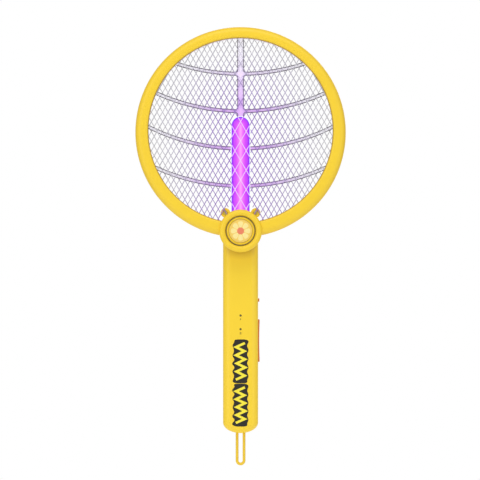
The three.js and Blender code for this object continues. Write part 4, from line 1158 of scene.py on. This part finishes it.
zinc = plated("zinc_plated_steel", colour_of(196, 198, 204), colour_of(160, 162, 170), 0.3)
yellow_zinc = plated("yellow_zinc_steel", colour_of(232, 220, 104), colour_of(216, 202, 86), 0.5)
yellow_zinc.node_tree.nodes["Principled BSDF"].inputs["Metallic"].default_value = 0.1
ring_screws = [middle_of(f"ring_screw_{number}")[[0, 2]] for number in range(1, 7)]
head_rise = 1.7
ring_back = layer_y + half_ring
ring_floor = ring_back - 2.6
ring_holes = [rod("y", place, well_radius, ring_floor, ring_back + 2) for place in ring_screws]
cut_out(rear_ring, [cutter(*shape) for shape in ring_holes])
ring_cups = [well_cup(place, ring_back - 2, ring_floor, layer_y + 0.4) for place in ring_screws]
add_piece("ring_wells", *merged(*ring_cups), yellow_plastic, "head", "yellow_shell")
shell_screws = [
    ("ring_screw", ring_screws, ring_floor, layer_y - 4.2, "head"),
    ("handle_screw", handle_screws, well_floor, 1 - back_face, "handle"),
]
for kind, places, floor, shank_end, body in shell_screws:
    for number, place in enumerate(places, 1):
        add_piece(f"{kind}_{number}_head", *screw_shape(place, floor + head_rise, 1, shank_end), zinc, body,
                  "screw_steel", replaces=(f"{kind}_{number}",))
for number, side in ((1, -1), (2, 1)):
    shape = screw_shape((side * lug_x, lug_z), layer_y - 3.5, -1, layer_y + 6.5)
    add_piece(f"lamp_screw_{number}_head", *shape, yellow_zinc, "head", "screw_steel",
              replaces=(f"lamp_holder_screw_{number}",))

# ---- Printed mark, symbols and lights ----
# The front of the handle carries a plain zigzag printed in thick black and lemon ink, two tiny dark
# symbols, and two smoky lenses that the charge and power lights shine through.


def raised_print(outline, raised, middle_z=0.0):
    """A flat shape of ink round (0, middle_z), raised off the handle's face, with its back 0.1 in it."""
    outline = np.asarray(outline, dtype=float) + (0, middle_z)
    points = [in_space(outline[None], depth - back_face) for depth in (-raised, 0.1)]
    return np.concatenate(points), capped_rows(2, len(outline))


def zigzag(top, bottom, strokes, width):
    """Outline of a mitred zigzag band: at each turn the edge lies width / 2 off both strokes, where the
    lines offset by the strokes' normals n and m cross: corner + (n + m) (width / 2) / (1 + n . m)."""
    steps = np.arange(strokes + 1)
    reach = 4.5 + 0.5 * np.sin(2.3 * steps)
    corners = np.stack([reach * np.where(steps % 2, -1, 1), np.linspace(top, bottom, strokes + 1)], axis=1)
    along = np.diff(corners, axis=0)
    along /= np.linalg.norm(along, axis=1, keepdims=True)
    normal = np.stack([along[:, 1], -along[:, 0]], axis=1)
    before = np.concatenate([normal[:1], normal])
    after = np.concatenate([normal, normal[-1:]])
    shift = (before + after) * (width / 2) / (1 + np.sum(before * after, axis=1))[:, None]
    return np.concatenate([corners + shift, (corners - shift)[::-1]])


def wavy_band(top, bottom, strokes, reach):
    """Outline of the black ground: two wavy sides that swell where the zigzag turns, with round ends."""
    z = np.linspace(top + 2.6, bottom - 2.6, 160)
    phase = np.pi * (top - z) / (top - bottom) * strokes
    end = np.clip(np.minimum(top + 2.6 - z, z - bottom + 2.6) / 2.2, 0, 1)
    squeeze = 0.45 + 0.55 * np.sqrt(1 - (1 - end) ** 2)
    right = (reach + 0.9 * np.cos(phase) + 0.3 * np.sin(0.7 * z)) * squeeze
    left = (reach - 0.9 * np.cos(phase) + 0.3 * np.cos(0.9 * z)) * squeeze
    return np.concatenate([np.stack([right, z], axis=1), np.stack([-left, z], axis=1)[::-1]])


black_ink = moulded("black_ink", colour_of(26, 22, 14), colour_of(34, 30, 20), 0.5, depth=0.006)
lemon_ink = moulded("lemon_ink", colour_of(250, 234, 62), colour_of(240, 222, 52), 0.45, depth=0.006)
symbol_ink = moulded("symbol_ink", colour_of(128, 110, 30), colour_of(116, 98, 26), 0.5, depth=0.006)
mark_spans = [(42.6, 4.2), (-3.8, -41.1)]
mark_strokes = 9
grounds = [wavy_band(top + 1.2, bottom - 1.2, mark_strokes, 7.6) for top, bottom in mark_spans]
bands = [zigzag(top, bottom, mark_strokes, 2.5) for top, bottom in mark_spans]
add_piece("mark_ground", *merged(*(raised_print(outline, 0.05) for outline in grounds)), black_ink, "handle",
          "dark_plastic")
add_piece("mark_zigzag", *merged(*(raised_print(outline, 0.11) for outline in bands)), lemon_ink, "handle",
          "yellow_shell")

bolt = [(0.35, 1.5), (-0.85, -0.2), (-0.1, -0.2), (-0.45, -1.5), (0.85, 0.35), (0.1, 0.35)]
cell_frame = [(-0.75, -1.3), (0.75, -1.3), (0.75, 1.0), (0.35, 1.0), (0.35, 1.35), (-0.35, 1.35),
              (-0.35, 1.0), (-0.75, 1.0)]
cell_room = [(-0.5, -1.05), (0.5, -1.05), (0.5, 0.75), (-0.5, 0.75)]
cell_level = np.array([(-0.35, 0), (0.35, 0), (0.35, 0.38), (-0.35, 0.38)])
bolt_z = light_heights[0] - 3.9
cell_z = light_heights[1] - 4.2
symbols = [raised_print(bolt, 0.05, bolt_z), raised_print(cell_frame, 0.03, cell_z)]
symbols += [raised_print(cell_level, 0.06, cell_z + rise) for rise in (-0.9, -0.35, 0.2)]
add_piece("light_symbols", *merged(*symbols), symbol_ink, "handle", "dark_plastic")
add_piece("cell_symbol_ground", *raised_print(cell_room, 0.045, cell_z), handle_yellow, "handle",
          "yellow_shell")

smoky_lens = moulded("smoky_lens", colour_of(92, 78, 34), colour_of(78, 66, 28), 0.12, depth=0.002, coat=1.0)
for number, z in enumerate(light_heights, 1):
    crown = curve((0, 0.35), (0.9, -0.5), 90, 0, 8)
    profile = np.concatenate([crown, [(0.9, 4.4), (1.9, 4.4), (1.9, 4.7), (0, 4.7)]]) - (0, back_face)
    add_piece(f"light_lens_{number}", *turned(profile, (0, z), 32, close=False), smoky_lens, "handle",
              "lens_clear", replaces=(f"indicator_lens_{number}",))

# ---- Press button and power slide ----
# Two orange controls on the right side: a long button with a shallow finger hollow, which springs back,
# and a small ridged knob that slides down to switch the power on. Both stand on flanges inside.

orange_plastic = moulded("orange_plastic", colour_of(222, 118, 46), colour_of(206, 102, 38), 0.4)


def control_cap(half_deep, middle_z, half_long, corner, base, top, edge, sink):
    """A control's cap along +X: a rounded rectangle in the YZ plane drawn in towards its middle line,
    with a quarter-round edge; sink(y, z) then lowers its top."""
    arcs = rounded_corners(half_deep, half_long, corner, 9)
    outline = np.concatenate([np.concatenate([arc, np.linspace(arc[-1], after[0], 24)[1:-1]])
                              for arc, after in zip(arcs, arcs[1:] + arcs[:1])])
    inner = min(half_deep, half_long)
    spine = np.clip(outline, [inner - half_deep, inner - half_long], [half_deep - inner, half_long - inner])
    angle = np.radians(np.linspace(0, 90, 9))
    rounding = 1 - edge / inner * (1 - np.cos(angle))
    share = np.concatenate([[1.0], rounding, np.linspace(1 - edge / inner, 0, 9)[1:]])
    x = np.concatenate([[base], top - edge + edge * np.sin(angle), np.full(8, top)])
    flat = spine[:, None, :] + share[None, :, None] * (outline - spine)[:, None, :]
    lowered = sink(flat[..., 0], flat[..., 1]) * np.clip((x - base) / (top - base), 0, 1) ** 4
    points = np.stack([x - lowered, flat[..., 0], flat[..., 1] + middle_z], axis=-1).reshape(-1, 3)
    return points, capped_columns(len(outline), len(share))


def finger_hollow(y, z):
    """Depth of the finger hollow: 0.5 (1 - (z / half)^2) + 0.12 (1 - (y / 4)^2), so deepest in its middle."""
    return 0.5 * (1 - (z / button_half) ** 2) + 0.12 * np.clip(1 - (y / 4) ** 2, 0, 1)


def knob_ridges(y, z):
    """Three grooves across the knob: 0.22 (0.5 - 0.5 cos(2 pi z / 1.2))."""
    return 0.22 * (0.5 - 0.5 * np.cos(2 * np.pi * z / 1.2))


flange = rounded_bar(14.375, 15.875, flange_half, button_z, button_half + flange_lip, 1.2)
cap = control_cap(4.5, button_z, button_half, 1.9, 15.8, button_out, 0.8, finger_hollow)
pegs = [rod("x", (0, middle_of(f"button_spring_{number}")[2]), 1.0, 13.2, 14.4, 16) for number in (1, 2)]
add_piece("press_button", *merged(cap, flange, *pegs), orange_plastic, "button", "orange_control",
          replaces=("zap_button",))


def coil_spring(middle_z, start, end, turns=5, radius=1.7, wire=0.22):
    """A coil along X: the wire's middle is (x, radius cos a, radius sin a), with x rising evenly except
    over the first and last turn, which lie flat."""
    steps = turns * 20 + 1
    angle = np.linspace(0, 2 * np.pi * turns, steps)
    rise = np.clip((angle / (2 * np.pi) - 0.8) / (turns - 1.6), 0, 1)
    x = start + wire + (end - start - 2 * wire) * rise
    ring = np.linspace(0, 2 * np.pi, 8, endpoint=False)
    reach = radius + wire * np.cos(ring)[None, :]
    across = reach * np.cos(angle)[:, None]
    up = reach * np.sin(angle)[:, None] + middle_z
    along = x[:, None] + wire * np.sin(ring)[None, :]
    points = np.stack([along, across, up], axis=-1).reshape(-1, 3)
    return points, capped_rows(steps, 8)


for number in (1, 2):
    (start, _, low), (end, _, high) = box_of(f"button_spring_{number}")
    spring = add_piece(f"button_coil_{number}", *coil_spring((low + high) / 2, start, end), zinc, "handle",
                       "screw_steel", replaces=(f"button_spring_{number}",))
    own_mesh(spring)
(_, _, plate_low), (knob_out, plate_half, plate_high) = box_of("power_slide_knob")
nub = control_cap(3.0, slide_z, knob_half, 0.7, 15.5, knob_out, 0.4, knob_ridges)
plate = rounded_bar(14.575, 15.575, plate_half, slide_z, (plate_high - plate_low) / 2, 0.8)
fork = rounded_bar(11.8, 14.7, 1.0, slide_z, 1.0, 0.2)
add_piece("power_knob", *merged(nub, plate, fork), orange_plastic, "power_slide", "orange_control",
          replaces=("power_slide_knob",))

# ---- Charging port ----
# A small pressed-steel socket on the left side, with a black tongue inside its rounded mouth.


(mouth, _, port_bottom), (port_end, port_deep, port_top) = box_of("charge_port")
port_long = (port_top - port_bottom) / 2
port_round = 1.55
port_steps = [
    (port_end, 0.0, port_round),
    (mouth + 0.15, 0.0, port_round),
    (mouth, 0.15, 1.4),
    (mouth, 0.3, 1.25),
    (mouth + 0.15, 0.45, 1.15),
    (port_end - 1, 0.45, 1.15),
]


def port_ring(x, inset, radius):
    """A rounded rectangle in the YZ plane at x, drawn in from the port's outside by inset."""
    ring = np.concatenate(rounded_corners(port_deep - inset, port_long - inset, radius, 10))
    return np.column_stack([np.full(len(ring), x), ring + (0, port_z)])


port_rings = [port_ring(*step) for step in port_steps]
port_faces = capped_rows(len(port_rings), len(port_rings[0]))
add_piece("port_shell", np.concatenate(port_rings), port_faces, zinc, "handle", "screw_steel",
          replaces=("charge_port",))
black_plastic = moulded("black_plastic", colour_of(44, 44, 48), colour_of(34, 34, 38), 0.5)
tongue = rounded_bar(mouth + 1.2, port_end - 0.9, 0.35, port_z, 3.2, 0.2)
add_piece("port_tongue", *tongue, black_plastic, "handle", "dark_plastic")

# ---- Hanging loop ----
# A soft yellow cord of moulded rubber: two legs that leave the handle's end side by side and join in a
# round bend below. A cross bar inside the handle holds it.

loop_bend = loop_low + loop_radius + loop_half
anchor_z = -47.5
leg_steps = np.linspace(anchor_z, loop_bend, 100)
left_leg = np.column_stack([np.full(100, -loop_half), leg_steps])
bend = curve((0, loop_bend), (loop_half, loop_half), 180, 360, 40)[1:-1]
loop_path = np.concatenate([left_leg, bend, left_leg[::-1] * (-1, 1)])
loop_section = curve((0, 0), (loop_radius, loop_radius), 0, 360, 25)[:-1]
bar_radius = 1.6
anchor_bar = rod("x", (0, anchor_z), bar_radius, -loop_half - bar_radius, loop_half + bar_radius, 24)
loop_shape = merged(carried(loop_path, sideways_of(loop_path), loop_section), anchor_bar)
loop_rubber = moulded("loop_rubber", colour_of(240, 202, 50), colour_of(230, 188, 36), 0.5)
loop = add_piece("hanging_loop", *loop_shape, loop_rubber, None, "loop_soft",
                 replaces=("hang_loop", "loop_anchor"))
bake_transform(loop)

# ---- Pivot, lamp saddle and inner parts ----
# What the shells hide: a hollow steel post with its spring washer and nut, the yellow saddle under the
# lamp, the strip of lights, the battery between nickel contacts, and the lacquered board with its parts.


def finish(material, *names):
    """Gives CAD nodes a material in their own slots."""
    for name in names:
        for slot in bpy.data.objects[name].material_slots:
            slot.material = material


def board_lacquer():
    """Green lacquer over copper tracks: a brick pattern in the board's plane, whose joints are the tracks."""
    made = moulded("board_lacquer", colour_of(26, 104, 58), colour_of(18, 88, 48), 0.3, depth=0.01, coat=0.4)
    tree = made.node_tree
    black, white = (0, 0, 0, 1), (1, 1, 1, 1)
    where = wired(tree, "TexCoord", {})
    turn = wired(tree, "Mapping", {"Vector": where.outputs["Object"], "Rotation": (math.pi / 2, 0, 0)})
    tracks = wired(tree, "TexBrick", {"Vector": turn.outputs["Vector"], "Scale": 260, "Mortar Size": 0.06,
                                      "Color1": black, "Color2": black, "Mortar": white})
    mix_in(made, tracks.outputs["Color"], colour_of(70, 150, 84))
    return made


nickel = plated("nickel_plate", colour_of(206, 202, 190), colour_of(186, 180, 168), 0.22)
finish(yellow_plastic, "lamp_holder")
finish(zinc, "pivot_post", "pivot_nut", "wave_washer")
finish(nickel, "battery_contact_lower", "battery_contact_upper")
finish(board_lacquer(), "circuit_board", "lamp_led_strip")
battery_wrap = moulded("battery_wrap", colour_of(58, 98, 170), colour_of(48, 84, 150), 0.25, grain=300,
                       coat=0.3)
finish(battery_wrap, "battery_cell")
finish(black_plastic, "hv_transformer", "micro_switch_body", "slide_switch_body")
dipped_red = moulded("dipped_red", colour_of(178, 44, 44), colour_of(150, 32, 34), 0.3, grain=900, depth=0.03,
                     coat=0.3)
finish(dipped_red, "hv_capacitor_1", "hv_capacitor_2")
finish(orange_plastic, "switch_plunger")
